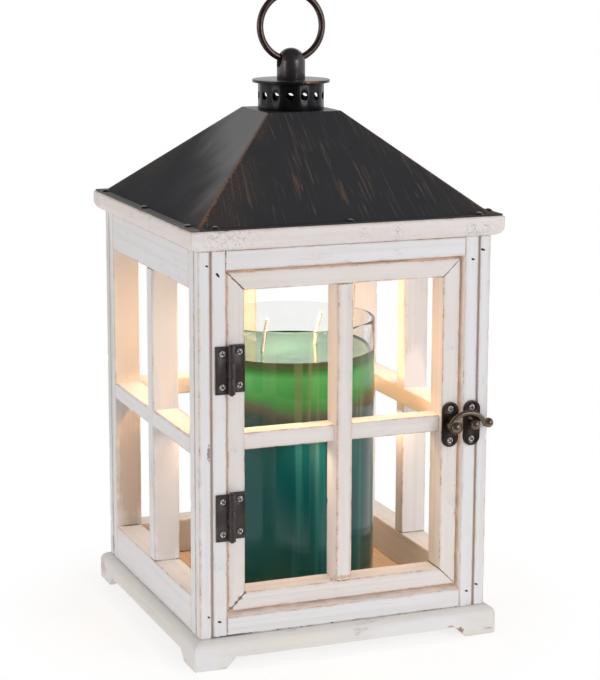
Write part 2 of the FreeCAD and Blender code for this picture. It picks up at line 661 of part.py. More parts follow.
can = joined(
    rod("z", "0", "0", "ceiling_top", "can_radius + can_flange_width", "ceiling_sheet"),
    rod("z", "0", "0", "ceiling_top", "can_radius", "can_top - ceiling_top"),
)
can_bore = rod("z", "0", "0", "ceiling_top - 1", "bulb_radius + can_air",
               "can_top - ceiling_top + 1 - ceiling_sheet")
outlet = rod("z", "0", "0", "can_top - 2 * ceiling_sheet", "can_outlet_radius", "3 * ceiling_sheet")
can_vents = spokes(int(mm("can_vent_count")), 0, "can_top - can_vent_drop",
                   "can_vent_radius", "can_radius + 1")
piece("lamp_can", cut(can, can_bore, outlet, *can_vents))

holder = rod("z", "0", "0", "socket_low", "bulb_neck_radius + socket_wall", "socket_height")
grip = rod("z", "0", "0", "socket_low - 1", "bulb_neck_radius", "socket_grip + 1")
piece("lamp_socket", cut(holder, grip))

bell = doc.addObject("Part::Cone", "Bell")
bind(bell, Radius1="bulb_radius", Radius2="bulb_neck_radius", Height="bulb_bell - bulb_rim")
place(bell, "0", "0", "bulb_face + bulb_rim")
piece("halogen_bulb", joined(
    rod("z", "0", "0", "bulb_face", "bulb_radius", "bulb_rim"),
    bell,
    rod("z", "0", "0", "bulb_face + bulb_bell", "bulb_neck_radius", "bulb_length - bulb_bell"),
))

# Cord gland: a snap-in bush in the back top rail.
gland = joined(
    rod("y", "gland_offset", "inner_half", "gland_z", "gland_radius", "post_size"),
    rod("y", "gland_offset", "inner_half - gland_lip_depth", "gland_z",
        "gland_lip_radius", "gland_lip_depth"),
    rod("y", "gland_offset", "body_half", "gland_z", "gland_flange_radius", "gland_flange_depth"),
)
gland_bore = rod("y", "gland_offset", "inner_half - gland_lip_depth - 1", "gland_z",
                 "gland_bore_radius", "post_size + gland_lip_depth + gland_flange_depth + 2")
piece("cord_gland", cut(gland, gland_bore))

# Door: mitred stiles and rails, and two glazing bars halved into each other.
door_mid = "(door_low + door_high) / 2"
outer_height = "(door_high - door_low) / 2"
inner_height = "(door_clear_high - door_clear_low) / 2"
left_stile = wedge(WEDGE_ACROSS, "-door_half", "-door_clear_half", outer_height, inner_height,
                   "-door_face", "-door_back", door_mid)
right_stile = wedge(WEDGE_ACROSS, "door_clear_half", "door_half", inner_height, outer_height,
                    "-door_face", "-door_back", door_mid)
piece("door_stile_left", cut(left_stile, *[front_hole(*spot) for spot in DOOR_LEAF_SCREWS]))
piece("door_stile_right", cut(right_stile, *[front_hole(*spot) for spot in LATCH_SCREWS]))
piece("door_rail_bottom", wedge(WEDGE_UP, "door_low", "door_clear_low", "door_half", "door_clear_half",
                                "door_back", "door_face"))
piece("door_rail_top", wedge(WEDGE_UP, "door_clear_high", "door_high", "door_clear_half", "door_half",
                             "door_back", "door_face"))
upright = block("-door_bar / 2", "-door_face", "door_clear_low",
                "door_bar", "door_thickness", "door_clear_high - door_clear_low")
crossbar = block("-door_clear_half", "door_bar_recess - door_face", "door_bar_low",
                 "2 * door_clear_half", "door_thickness - door_bar_recess", "door_bar")
back_notch = block("-door_bar / 2 - 1", "-door_face + door_thickness / 2", "door_bar_low",
                   "door_bar + 2", "door_thickness / 2 + 1", "door_bar")
front_notch = block("-door_bar / 2", "-door_face - 1", "door_bar_low - 1",
                    "door_bar", "door_thickness / 2 + 1", "door_bar + 2")
piece("door_upright", cut(upright, back_notch))
piece("door_crossbar", cut(crossbar, front_notch))


# Butt hinges: two fixed knuckles on the frame leaf, one turning between them on the door leaf.
def hinge(name, middle):
    low = "(base_height + %s - hinge_height / 2)" % middle
    third = low + " + knuckle_height"
    leaf = block("-pin_x - leaf_reach", "-body_half - leaf_thickness", low,
                 "leaf_reach", "leaf_thickness", "hinge_height")
    roll = rod("z", "-pin_x", "-pin_y", low, "knuckle_radius", "hinge_height")
    room = "knuckle_radius + hinge_swing_gap"
    notch = block("-pin_x - (%s)" % room, "-pin_y - (%s)" % room, third,
                  "2 * (%s)" % room, "2 * (%s)" % room, "knuckle_height")
    bore = rod("z", "-pin_x", "-pin_y", low + " - 1", "pin_radius", "hinge_height + 2")
    spots = [spot for spot in FRAME_LEAF_SCREWS if middle in spot[2]]
    cuts = [front_hole(x, y, z) for x, y, z in spots]
    cuts += [front_dimple(x, "-body_half - leaf_thickness", z) for x, y, z in spots]
    piece(name + "_hinge_frame_leaf", cut(joined(leaf, roll), notch, bore, *cuts))

    turning = rod("z", "-pin_x", "-pin_y", third + " + knuckle_gap", "knuckle_radius",
                  "knuckle_height - 2 * knuckle_gap")
    web = block("leaf_thickness / 2 - pin_x", "-pin_y", third + " + knuckle_gap",
                "leaf_thickness", "pin_y - door_face", "knuckle_height - 2 * knuckle_gap")
    plate = block("leaf_thickness / 2 - pin_x", "-door_face - leaf_thickness", low,
                  "door_leaf_reach - leaf_thickness / 2", "leaf_thickness", "hinge_height")
    bore = rod("z", "-pin_x", "-pin_y", low, "pin_radius + pin_running", "hinge_height")
    spots = [spot for spot in DOOR_LEAF_SCREWS if middle in spot[2]]
    cuts = [front_hole(x, y, z) for x, y, z in spots]
    cuts += [front_dimple(x, "-door_face - leaf_thickness", z) for x, y, z in spots]
    piece(name + "_hinge_door_leaf", cut(joined(turning, web, plate), bore, *cuts))


for name, middle in HINGES:
    hinge(name, middle)
piece("hinge_pins", group(
    rod("z", "-pin_x", "-pin_y", "base_height + %s - hinge_height / 2 - pin_tip" % middle,
        "pin_radius", "hinge_height + 2 * pin_tip")
    for name, middle in HINGES
))

# Screws of the frame, then of the door; no two slots stop at the same angle, in degrees.
FRAME_SPIN, FRAME_SPIN_STEP = 12, 23
DOOR_SPIN, DOOR_SPIN_STEP = 31, 37
frame_screws = [screw(FACING_FRONT, FRAME_SPIN + FRAME_SPIN_STEP * index, *spot)
                for index, spot in enumerate(FRAME_LEAF_SCREWS + STRIKE_SCREWS)]
frame_screws += [screw(FACING_RIGHT if side < 0 else FACING_LEFT, 0,
                       mirrored(side, "(inner_half - ceiling_sheet)"), along, height)
                 for side, along, height in LAMP_SCREWS]
piece("frame_screws", group(frame_screws))
piece("door_screws", group(screw(FACING_FRONT, DOOR_SPIN + DOOR_SPIN_STEP * index, *spot)
                           for index, spot in enumerate(DOOR_LEAF_SCREWS + LATCH_SCREWS)))


# Catch: a hook that swings on the door's plate and drops over the knob of the strike.
def round_ended_plate(x, front, z):
    """A plate with round ends, its front at the distance front from the middle."""
    straight = "(latch_plate_height - latch_plate_width)"
    low = z + " - %s / 2" % straight
    middle = block(x + " - latch_plate_width / 2", "-" + front, low,
                   "latch_plate_width", "latch_plate_thickness", straight)
    ends = [rod("y", x, "-" + front, end, "latch_plate_width / 2", "latch_plate_thickness")
            for end in (low, z + " + %s / 2" % straight)]
    return joined(middle, *ends)


latch_cuts = [rod("y", "latch_x", "-latch_front - 1", "latch_z", "pivot_radius", "latch_plate_thickness + 2")]
for x, y, z in LATCH_SCREWS:
    latch_cuts += [front_hole(x, y, z), front_dimple(x, "-latch_front", z)]
piece("latch_plate", cut(round_ended_plate("latch_x", "latch_front", "latch_z"), *latch_cuts))

cap_back = "(hook_front + hook_side_gap)"
piece("latch_pivot", joined(
    rod("y", "latch_x", "-" + cap_back, "latch_z", "pivot_radius", cap_back + " - door_face"),
    rod("y", "latch_x", "hook_side_gap - hook_back", "latch_z", "pivot_collar_radius",
        "hook_back - hook_side_gap - latch_front"),
    facing(dome("pivot_dome_radius", "pivot_dome_height"), FACING_FRONT,
           "latch_x", "-" + cap_back, "latch_z"),
))

arm = doc.addObject("Part::Torus", "Arm")
bind(arm, Radius1="arm_curve", Radius2="arm_radius", Angle3="hook_sweep")
arm.Placement = Placement(Vector(), FACING_FRONT * Rotation(Vector(0, 0, 1), mm("hook_start")))
place(arm, "hook_centre_x", "-hook_mid", "hook_centre_z")
eye = rod("y", "latch_x", "-hook_front", "latch_z", "hook_eye_radius", "hook_thickness")
tip = ball("hook_centre_x + arm_curve * cos(hook_start) + hook_ball_out", "-hook_mid",
           "hook_centre_z + arm_curve * sin(hook_start) + hook_ball_up", "hook_ball_radius")
piece("latch_hook", cut(joined(eye, arm, tip), rod("y", "latch_x", "-hook_front - 1", "latch_z",
                                                   "pivot_radius + pin_running", "hook_thickness + 2")))

strike = joined(
    round_ended_plate("strike_x", "strike_front", "strike_z"),
    rod("y", "strike_x", "-knob_y", "strike_z", "strike_shank_radius",
        "knob_y - strike_front + latch_plate_thickness / 2"),
    ball("strike_x", "-knob_y", "strike_z", "strike_knob_radius"),
)
strike_cuts = []
for x, y, z in STRIKE_SCREWS:
    strike_cuts += [front_hole(x, y, z), front_dimple(x, "-strike_front", z)]
piece("latch_strike", cut(strike, *strike_cuts))

# Candle that is warmed: a jar with wax and two wicks.
WICKS = (("-wick_out", "-wick_back"), ("wick_out", "wick_back"))
jar_foot = doc.addObject("Part::Cone", "JarFoot")
bind(jar_foot, Radius1="jar_radius - jar_round", Radius2="jar_radius", Height="jar_round")
place(jar_foot, "0", "0", "base_height")
jar_side = rod("z", "0", "0", "base_height + jar_round", "jar_radius", "jar_height - jar_round")
jar_bore = rod("z", "0", "0", "base_height + jar_base", "jar_bore", "jar_height")
piece("candle_jar", cut(joined(jar_foot, jar_side), jar_bore))


def wick(x, y):
    return rod("z", x, y, "base_height + jar_base", "wick_radius", "wax_top - jar_base + wick_stand")


wax = rod("z", "0", "0", "base_height + jar_base", "jar_bore", "wax_top - jar_base")
piece("candle_wax", cut(wax, *[wick(x, y) for x, y in WICKS]))
piece("candle_wicks", group(wick(x, y) for x, y in WICKS))

doc.recompute()
os.makedirs("parts", exist_ok=True)
for name, thing in sorted(PARTS.items()):
    state = [word for word in thing.State if word in ("Invalid", "Error")]
    if state or thing.Shape.isNull() or not thing.Shape.isValid():
        raise RuntimeError("%s: %s" % (name, state or "no valid shape"))
    thing.Shape.exportStep("parts/%s.step" % name)
    box = thing.Shape.BoundBox
    print("%-26s %3d solid  x %7.2f %7.2f  y %7.2f %7.2f  z %7.2f %7.2f" % (
        name, len(thing.Shape.Solids), box.XMin, box.XMax, box.YMin, box.YMax, box.ZMin, box.ZMax))
print("%d parts" % len(PARTS))
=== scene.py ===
import json
import math
import random

import bmesh
import bpy
from mathutils import Matrix, Vector, noise


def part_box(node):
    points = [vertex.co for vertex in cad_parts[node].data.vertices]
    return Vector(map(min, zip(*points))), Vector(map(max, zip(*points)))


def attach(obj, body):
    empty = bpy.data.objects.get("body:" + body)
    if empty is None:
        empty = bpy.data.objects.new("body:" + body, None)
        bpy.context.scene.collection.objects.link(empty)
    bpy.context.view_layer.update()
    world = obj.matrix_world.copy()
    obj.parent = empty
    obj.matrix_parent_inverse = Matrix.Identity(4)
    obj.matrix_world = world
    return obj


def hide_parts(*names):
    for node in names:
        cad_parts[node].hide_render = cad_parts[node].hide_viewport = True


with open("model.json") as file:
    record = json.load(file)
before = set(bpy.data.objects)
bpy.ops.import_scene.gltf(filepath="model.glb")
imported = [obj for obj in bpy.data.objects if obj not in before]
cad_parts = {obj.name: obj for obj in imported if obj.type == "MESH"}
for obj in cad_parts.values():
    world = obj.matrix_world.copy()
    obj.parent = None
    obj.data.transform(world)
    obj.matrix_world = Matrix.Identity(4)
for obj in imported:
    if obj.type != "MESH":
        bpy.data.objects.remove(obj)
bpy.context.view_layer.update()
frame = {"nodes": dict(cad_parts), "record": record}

# The looks of a wooden lantern that warms a jar candle. Lengths in this file are millimetres, in
# the frame of the CAD model, and become metres where a mesh, a light or the camera is made.
MM = 0.001


def span(*nodes):
    """Lowest and highest corner of some CAD nodes together, in millimetres."""
    boxes = [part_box(node) for node in nodes]
    low = Vector([min(box[0][axis] for box in boxes) for axis in range(3)])
    high = Vector([max(box[1][axis] for box in boxes) for axis in range(3)])
    return low / MM, high / MM


def new_object(name, data):
    thing = bpy.data.objects.new(name, data)
    bpy.context.scene.collection.objects.link(thing)
    return thing


def circle_turns(count):
    return [2 * math.pi * step / count for step in range(count)]


# ---------- camera

CAMERA_PLACE = Vector((-426.9, -1093.2, 398.6))
CAMERA_YAW = -0.377
CAMERA_PITCH = 0.201
CAMERA_ROLL = 0.003
CAMERA_LENS = 109.8
SENSOR = 36.0


def add_camera():
    data = bpy.data.cameras.new("camera")
    data.lens = CAMERA_LENS
    data.sensor_width = SENSOR
    camera = new_object("camera", data)
    turn = (Matrix.Rotation(CAMERA_YAW, 4, "Z") @ Matrix.Rotation(math.pi / 2 - CAMERA_PITCH, 4, "X")
            @ Matrix.Rotation(CAMERA_ROLL, 4, "Z"))
    camera.matrix_world = Matrix.Translation(CAMERA_PLACE * MM) @ turn
    bpy.context.scene.camera = camera


add_camera()

# ---------- node graphs


class Value:
    """The output of a node. Arithmetic with it adds nodes to its graph."""

    def __init__(self, graph, socket):
        self.graph = graph
        self.socket = socket

    def __add__(self, other):
        return self.graph.math("ADD", self, other)

    def __radd__(self, number):
        return self.graph.math("ADD", number, self)

    def __sub__(self, number):
        return self + -number

    def __rsub__(self, number):
        return self.graph.math("SUBTRACT", number, self)

    def __mul__(self, other):
        return self.graph.math("MULTIPLY", self, other)

    def __truediv__(self, other):
        return self.graph.math("DIVIDE", self, other)

    def __pow__(self, other):
        return self.graph.math("POWER", self, other)

    def __abs__(self):
        return self.graph.math("ABSOLUTE", self)

    def swing(self, amount):
        """A noise moved to lie round 0, and scaled."""
        return (self - 0.5) * amount

    def step(self, start, end, low=0.0, high=1.0):
        """A smooth step: low on start's side, high on end's side."""
        inputs = {"Value": self, "From Min": start, "From Max": end, "To Min": low, "To Max": high}
        return self.graph.add("ShaderNodeMapRange", "Result", inputs, interpolation_type="SMOOTHSTEP")

    def thread(self, outer, inner=0.0):
        """Thin lines where a noise passes its middle."""
        return abs(self - 0.5).step(outer, inner)


class Graph:
    """The node tree of a material or a world, built one call at a time from values and numbers."""

    def __init__(self, owner):
        owner.use_nodes = True
        self.owner = owner
        self.tree = owner.node_tree
        self.tree.nodes.clear()

    def node(self, kind, inputs=(), **settings):
        """A new node. inputs gives its sockets' values, by place or name; None leaves one alone."""
        node = self.tree.nodes.new(kind)
        for key, value in settings.items():
            setattr(node, key, value)
        for key, value in dict(inputs).items():
            if isinstance(value, Value):
                self.tree.links.new(value.socket, node.inputs[key])
            elif value is not None:
                coloured = node.inputs[key].type == "RGBA" and len(value) == 3
                node.inputs[key].default_value = (*value, 1) if coloured else value
        return node

    def add(self, kind, output=0, inputs=(), **settings):
        """One output of a new node."""
        return Value(self, self.node(kind, inputs, **settings).outputs[output])

    def math(self, operation, first, second=0.0, clamp=False):
        return self.add("ShaderNodeMath", 0, {0: first, 1: second}, operation=operation, use_clamp=clamp)

    def vector(self, operation, first, second=None, scale=None):
        output = "Value" if operation == "DOT_PRODUCT" else "Vector"
        inputs = {0: first, 1: second, "Scale": scale}
        return self.add("ShaderNodeVectorMath", output, inputs, operation=operation)

    def mix(self, share, first, second, blend="MIX"):
        inputs = {"Factor": share, 6: first, 7: second}
        return self.add("ShaderNodeMix", 2, inputs, data_type="RGBA", blend_type=blend)

    def layers(self, colour, *layers):
        """Tones laid over a colour one after another, each as (share, tone)."""
        for share, tone in layers:
            colour = self.mix(share, colour, tone)
        return colour

    def attribute(self, name, output="Fac"):
        return self.add("ShaderNodeAttribute", output, attribute_name=name)

    def coordinate(self, name):
        return self.add("ShaderNodeTexCoord", name)

    def noise(self, point, scale, detail=2.0, roughness=0.5, distortion=0.0):
        inputs = {"Vector": point, "Scale": scale, "Detail": detail, "Roughness": roughness}
        return self.add("ShaderNodeTexNoise", "Fac", {**inputs, "Distortion": distortion})

    def cells(self, point, scale, feature="DISTANCE_TO_EDGE"):
        inputs = {"Vector": point, "Scale": scale}
        return self.add("ShaderNodeTexVoronoi", "Distance", inputs, feature=feature)

    def ramp(self, value, stops):
        node = self.node("ShaderNodeValToRGB", {0: value})
        points = node.color_ramp.elements
        while len(points) < len(stops):
            points.new(0.5)
        for point, (place, colour) in zip(points, stops):
            point.position = place
            point.color = (*colour, 1)
        return Value(self, node.outputs[0])

    def split(self, vector):
        return [Value(self, output) for output in self.node("ShaderNodeSeparateXYZ", {0: vector}).outputs]

    def join(self, x, y, z):
        return self.add("ShaderNodeCombineXYZ", 0, {0: x, 1: y, 2: z})

    def spot(self, point, middle, reach, unrest):
        """1 inside a ragged blot, with its middle and its reach along x, y and z in millimetres."""
        away = self.vector("MULTIPLY", self.vector("SUBTRACT", point, middle), [1 / part for part in reach])
        return (1.0 - self.vector("DOT_PRODUCT", away, away) ** 0.5 + unrest).step(0.15, 0.5)

    def bump(self, height, distance, strength=1.0):
        """Relief whose height of 1 stands for the distance, in millimetres."""
        inputs = {"Height": height, "Distance": distance * MM, "Strength": strength}
        return self.add("ShaderNodeBump", 0, inputs)

    def shut_in(self, width, samples, **settings):
        """How much of the space within a width of a point is shut off from it, from 0 to 1."""
        inputs = {"Distance": width * MM}
        return 1.0 - self.add("ShaderNodeAmbientOcclusion", "AO", inputs, samples=samples, **settings)

    def ray(self, *kinds):
        """1 for a ray of any of these kinds."""
        share, *others = [self.add("ShaderNodeLightPath", "Is " + kind + " Ray") for kind in kinds]
        for other in others:
            share = self.math("MAXIMUM", share, other)
        return share

    def principled(self, **values):
        """The usual shader; an underscore in a keyword stands for a space."""
        inputs = {key.replace("_", " "): value for key, value in values.items()}
        return self.add("ShaderNodeBsdfPrincipled", 0, inputs)

    def glow(self, colour=None, strength=1.0):
        return self.add("ShaderNodeEmission", 0, {0: colour, 1: strength})

    def blend(self, share, first, second):
        """A mix of two shaders."""
        return self.add("ShaderNodeMixShader", 0, {0: share, 1: first, 2: second})

    def lit_sheet(self, albedo, strength):
        """A matt grey that glows."""
        matt = self.add("ShaderNodeBsdfDiffuse", 0, {0: (albedo, albedo, albedo)})
        return self.add("ShaderNodeAddShader", 0, {0: matt, 1: self.glow(strength=strength)})

    def finish(self, surface, kind="Material"):
        self.node("ShaderNodeOutput" + kind, {"Surface": surface})
        return self.owner

    def surface(self, **values):
        """The finished material, with one principled surface."""
        return self.finish(self.principled(**values))


def start():
    """A new material's graph, and the point in the piece's own frame, in millimetres."""
    g = Graph(bpy.data.materials.new("look"))
    return g, g.vector("SCALE", g.coordinate("Object"), scale=1 / MM)


def scaled(colour, factor):
    return tuple(factor * part for part in colour)


# ---------- wood finish

PAINT = (0.79, 0.785, 0.805)
PAINT_SHADE = (0.69, 0.68, 0.67)
CREAM = (0.76, 0.70, 0.60)
BARE_WOOD = (0.62, 0.40, 0.24)
DARK_WOOD = (0.20, 0.11, 0.06)
DIRT_AND_SHADE = (0.05, 0.042, 0.038)
INSIDE_PAINTED_SHADE = (0.93, 0.87, 0.80)
GROOVE_BROWN = (0.62, 0.50, 0.44)
GAP_LIGHT = (0.80, 0.50, 0.30)
SEED_SPREAD = 400.0
BROAD_MARK = 20.0
CRACKED_FRONT = (-60.0, -80.0)
CRACKED_MIDDLE = -70.0
CRACKED_REACH = (18.0, 8.0)


def crackle_lines(g, point, moved, speck):
    """Slanting cracks in the paint, and the places where they are: patches, and the front's left end."""
    x, y, z = g.split(point)
    wobble = g.noise(moved, 0.5, 2.0) * 3.0
    slant = g.join(x + y + z + wobble, (x + y) * 0.30 + z * -0.30 + wobble, 0.0)
    crack = g.cells(slant, 0.36).step(0.085, 0.02) * speck.step(0.44, 0.58)
    front = y.step(*CRACKED_FRONT) * abs(x - CRACKED_MIDDLE).step(*CRACKED_REACH)
    return crack, g.noise(moved, 0.045, 2.0).step(0.60, 0.68) + front


def wood(rub, stain, scratches, paint=PAINT, shade=PAINT_SHADE, crackle=0.0, strokes=0.5, marks=()):
    """White-washed wood. Larger rub bares more of the edges, larger stain lets more wood through.

    The marks given are chips, knots and stains, and patches of painted light and shade: each has its middle,
    its reach along x, y and z, and its colour.
    """
    g, point = start()
    grain = g.attribute("grain", "Vector")
    along = g.vector("DOT_PRODUCT", point, grain)
    moved = g.vector("ADD", point, g.vector("SCALE", g.attribute("seed", "Vector"), scale=SEED_SPREAD))

    def drawn_out(share):
        """The moved point less a share of its place along the grain, for noise that runs with it."""
        return g.vector("ADD", moved, g.vector("SCALE", g.vector("SCALE", grain, scale=along), scale=-share))

    fibre = g.noise(drawn_out(0.95), 0.9, 4.0, 0.6)
    stroke = g.noise(drawn_out(0.985), 0.33, 3.0, 0.6)
    dash = g.noise(drawn_out(0.55), 0.9, 2.0)
    hair = g.noise(drawn_out(0.93), 0.35, 3.0, 0.7, 0.6)
    cloud = g.noise(moved, 0.035, 3.0)
    patch = g.noise(moved, 0.11, 3.0, 0.6)
    speck = g.noise(moved, 1.1, 3.0, 0.6)

    edge = g.attribute("edge")
    unrest = patch.swing(1.6) + speck.swing(0.7)
    specks = unrest * 0.3 + speck.swing(1.4)
    halo = (edge + unrest + rub).step(0.25, 1.15) * 0.42
    line = (edge + unrest * 0.55 + rub).step(0.93, 1.16, 0, 0.85)
    scratch = hair.thread(0.012) * g.noise(moved, 0.06, 2.0).step(0.60, 0.70)
    colour = g.layers(
        paint,
        (stroke.step(0.42, 0.70, 0, strokes), shade),
        (fibre.step(0.56, 0.74, 0, strokes * 0.7), shade),
        (cloud.step(0.48, 0.72) * stain, CREAM),
        (fibre.step(0.60, 0.75) * patch.step(0.52, 0.72) * stain, BARE_WOOD),
        (halo, BARE_WOOD),
        (line, g.mix(speck.step(0.35, 0.65), BARE_WOOD, DARK_WOOD)),
        ((g.attribute("groove") + speck.swing(0.25)).step(0.25, 0.75, 0, 0.9), GROOVE_BROWN),
        ((g.attribute("end") + specks).step(0.50, 0.95, 0, 0.9), DARK_WOOD),
        ((g.attribute("seam") + dash.swing(1.6)).step(0.75, 1.0, 0, 0.92), DIRT_AND_SHADE),
        (scratch * scratches, DIRT_AND_SHADE))
    crack = 0.0
    if crackle:
        crack, region = crackle_lines(g, point, moved, speck)
        colour = g.mix(crack * region * crackle, colour, DIRT_AND_SHADE)
    for middle, reach, tone in marks:
        broad = max(reach) > BROAD_MARK
        ragged = (patch + fibre - 1.0) * 0.5 if broad else speck.swing(1.6) + fibre - 0.5
        colour = g.mix(g.spot(point, middle, reach, ragged) * 0.85, colour, tone)
    # Faces turned in towards the lantern's middle are painted darker and warmer: painted shade and warm
    # lamplight inside the lantern.
    x, y, z = g.split(point)
    outwards = g.vector("DOT_PRODUCT", g.coordinate("Normal"), g.vector("NORMALIZE", g.join(x, y, 0.0)))
    colour = g.mix(outwards.step(-0.2, -0.8), colour, g.mix(1.0, colour, INSIDE_PAINTED_SHADE, "MULTIPLY"))

    height = fibre * 0.5 + stroke * 0.5 + speck * 0.3 + scratch * -0.5 + crack * -0.6 + line * -0.5
    # The narrow gap round the door glows a faint warm tan: painted light, standing in for lamplight seen in
    # the gap.
    painted_gap_glow = g.attribute("gap") * patch.step(0.35, 0.65, 0.04, 0.20)
    return g.surface(Base_Color=colour, Roughness=fibre.step(0.3, 0.7, 0.50, 0.66) + halo * 0.2,
                     Specular_IOR_Level=0.35, Normal=g.bump(height, 0.16),
                     Emission_Color=GAP_LIGHT, Emission_Strength=painted_gap_glow)


def floor_wood():
    """Bare board with a thin wash."""
    g, point = start()
    across, along, up = g.split(point)
    fibre = g.noise(g.join(across, along * 0.05, up), 0.8, 4.0, 0.6)
    colour = g.layers(
        g.ramp(fibre, [(0.30, (0.66, 0.44, 0.27)), (0.62, (0.86, 0.63, 0.41))]),
        (g.noise(point, 0.03, 3.0).step(0.4, 0.7, 0.0, 0.15), CREAM),
        (g.attribute("edge").step(0.5, 1.0, 0, 0.6), DARK_WOOD))
    return g.surface(Base_Color=colour, Roughness=fibre.step(0.3, 0.7, 0.5, 0.7), Normal=g.bump(fibre, 0.12))


# ---------- metal finishes

UMBER = (0.12, 0.07, 0.045)
HIP_COPPER = (0.27, 0.13, 0.070)
SHEET = 0.9
FLANGE_TOP = span("roof_hood")[0].z + SHEET
# Between these places along x the flange's left edge begins; there a painted highlight stands for the light
# that the edge catches.
FLANGE_LEFT = (-85.2, -85.6)
# The strokes' attribute is 1 on the roof's front slope and grows by this from slope to slope.
SLOPE_CODE = 11.0
LEFT_CODE = 1.0 + 3 * SLOPE_CODE


def roof_metal():
    """Satin black with coppery brush strokes down the slopes and along the hips."""
    g, point = start()
    x, y, z = g.split(point)
    around, down, hip, brushed = [g.attribute(key) for key in ("around", "down", "hip", "brushed")]
    fan = around * (1.0 + down * -0.002) + g.noise(point, 0.02, 1.0) * 3.0

    def drawn_down(across, thin, fall, layer, detail, roughness=0.5):
        """Noise whose marks run down a slope."""
        return g.noise(g.join(across * thin, down * fall, layer), 1.0, detail, roughness)

    fine = drawn_down(fan, 1.2, 0.012, brushed, 1.0)
    coarse = drawn_down(fan, 0.33, 0.010, brushed + 7.0, 1.5)
    broken = drawn_down(fan, 0.5, 0.045, brushed + 5.0, 1.0)
    patch = drawn_down(around, 0.040, 0.030, brushed + 3.0, 2.0, 0.6)
    grit = g.noise(point, 0.9, 3.0, 0.7)

    # The strokes and hairs stay off the flange, and are faint on the left slope.
    shift = patch.swing(0.5) + hip.step(0.55, 0.95) * 0.06
    hairs = coarse.thread(0.015, 0.004) * (broken + shift).step(0.47, 0.57)
    stroke = (fine + shift).step(0.62, 0.70) * (broken + shift).step(0.50, 0.62) * 0.45
    stroke = g.math("MAXIMUM", stroke, hairs) * grit.step(0.20, 0.55) * brushed.step(0.2, 0.8)
    stroke = stroke * brushed.step(LEFT_CODE - 4, LEFT_CODE, 1.0, 0.25)
    # Wear beside the hips, more of it on the left, and a thin copper line on the hips themselves.
    near_hip = (hip + grit.swing(0.5) + patch.swing(0.9)).step(0.55, 1.0) * grit.step(0.36, 0.60)
    near_hip = near_hip * x.step(30.0, -10.0, 0.15, 0.4)
    on_hip = (hip + grit.swing(0.10)).step(0.975, 1.0) * grit.step(0.26, 0.45)
    # The slopes are smoother towards the top and the front, and the same share paints them lighter there: a
    # painted sheen.
    satin_and_painted_sheen = (z * 0.020 + y * -0.006 + patch * 0.4).step(5.1, 6.0)
    # A painted highlight along the flange's left edge.
    flange_painted_highlight = brushed.step(0.8, 0.2) * x.step(*FLANGE_LEFT)
    flange_painted_highlight = flange_painted_highlight * z.step(FLANGE_TOP - 0.75, FLANGE_TOP - 0.45) * grit.step(0.2, 0.6, 0.5, 1.0)
    colour = g.layers(
        (0.0215, 0.0225, 0.028),
        (g.noise(point, 0.03, 2.0) * 0.4 + satin_and_painted_sheen * 0.6, (0.042, 0.042, 0.045)),
        (grit.step(0.66, 0.76) * 0.25, (0.10, 0.10, 0.10)),
        (flange_painted_highlight, (0.17, 0.17, 0.175)),
        (stroke * 0.75, g.mix(patch.step(0.46, 0.62), (0.15, 0.130, 0.115), (0.21, 0.130, 0.095))),
        (near_hip * 0.8, UMBER),
        (on_hip * 0.7, HIP_COPPER))
    return g.surface(Base_Color=colour, Metallic=stroke * 0.35, Specular_IOR_Level=0.35,
                     Roughness=satin_and_painted_sheen.step(0, 1, 0.85, 0.34) + stroke * 0.12 + grit * 0.10,
                     Normal=g.bump(grit * 0.5 + stroke * 0.6, 0.05))


LIGHTER = 1.9


def rubbed_paint(base, tint, width, wear, rough, streak, metallic=0.35, raised=None, glint=None,
                 relief=0.006):
    """Dark paint on metal, rubbed to a coppery or brassy tint on the edges and in streaks.

    width is the edges' worn width; 0 spreads the rubbing evenly.
    raised gives an axis, two places along it, and the colour that the metal has from the second on: a second
    tone on the latch, a painted highlight on the nails and on the vent's top.
    glint gives the middle and the reach of a place where the tint shows more.
    """
    g, point = start()
    grit = g.noise(point, 0.8, 3.0, 0.65)
    patch = g.noise(point, 0.16, 2.0, 0.6)
    x, y, z = g.split(point)
    brush = g.noise(g.join(x * 0.25, y * 0.25, z * 1.6), 1.0, 3.0, 0.6)
    edge = g.shut_in(width, 6, inside=True, only_local=True) if width else 0.45
    rub = (edge + patch.swing(1.1) + grit.swing(0.5)).step(1.05 - wear, 1.35 - wear)
    if glint:
        rub = g.math("MAXIMUM", rub, g.spot(point, *glint, grit.swing(1.5)) * 0.55)
    film = brush.step(0.48, 0.72) * patch.step(0.40, 0.70) * streak
    lighter = scaled(base, LIGHTER)
    if raised:
        axis, low, high, tone = raised
        base = g.mix((x, y, z)[axis].step(low, high), base, tone)
        lighter = g.mix(1.0, base, (LIGHTER, LIGHTER, LIGHTER), "MULTIPLY")
    colour = g.layers(base, (patch.step(0.3, 0.7, 0, 0.5), lighter), (film, scaled(tint, 0.5)), (rub, tint))
    return g.surface(Base_Color=colour, Roughness=rough + grit * 0.12 + rub * -0.06,
                     Metallic=metallic + rub * 0.45, Specular_IOR_Level=0.55,
                     Normal=g.bump(grit * 0.5 + patch * 0.5, relief))


def bright_screw():
    """Plated screw heads, dark in the cross and round the rim where they are shut in: painted shade and dirt.
    """
    g, point = start()
    grit = g.noise(point, 2.2, 3.0, 0.65)
    shade_and_dirt = (g.shut_in(1.3, 12) + grit.swing(0.15)).step(0.10, 0.26)
    colour = g.mix(shade_and_dirt, g.mix(grit, (0.52, 0.50, 0.47), (0.78, 0.76, 0.72)), (0.015, 0.013, 0.012))
    return g.surface(Base_Color=colour, Roughness=0.28 + grit * 0.2 + shade_and_dirt * 0.3,
                     Metallic=0.45 - shade_and_dirt * 0.4, Normal=g.bump(grit, 0.03))


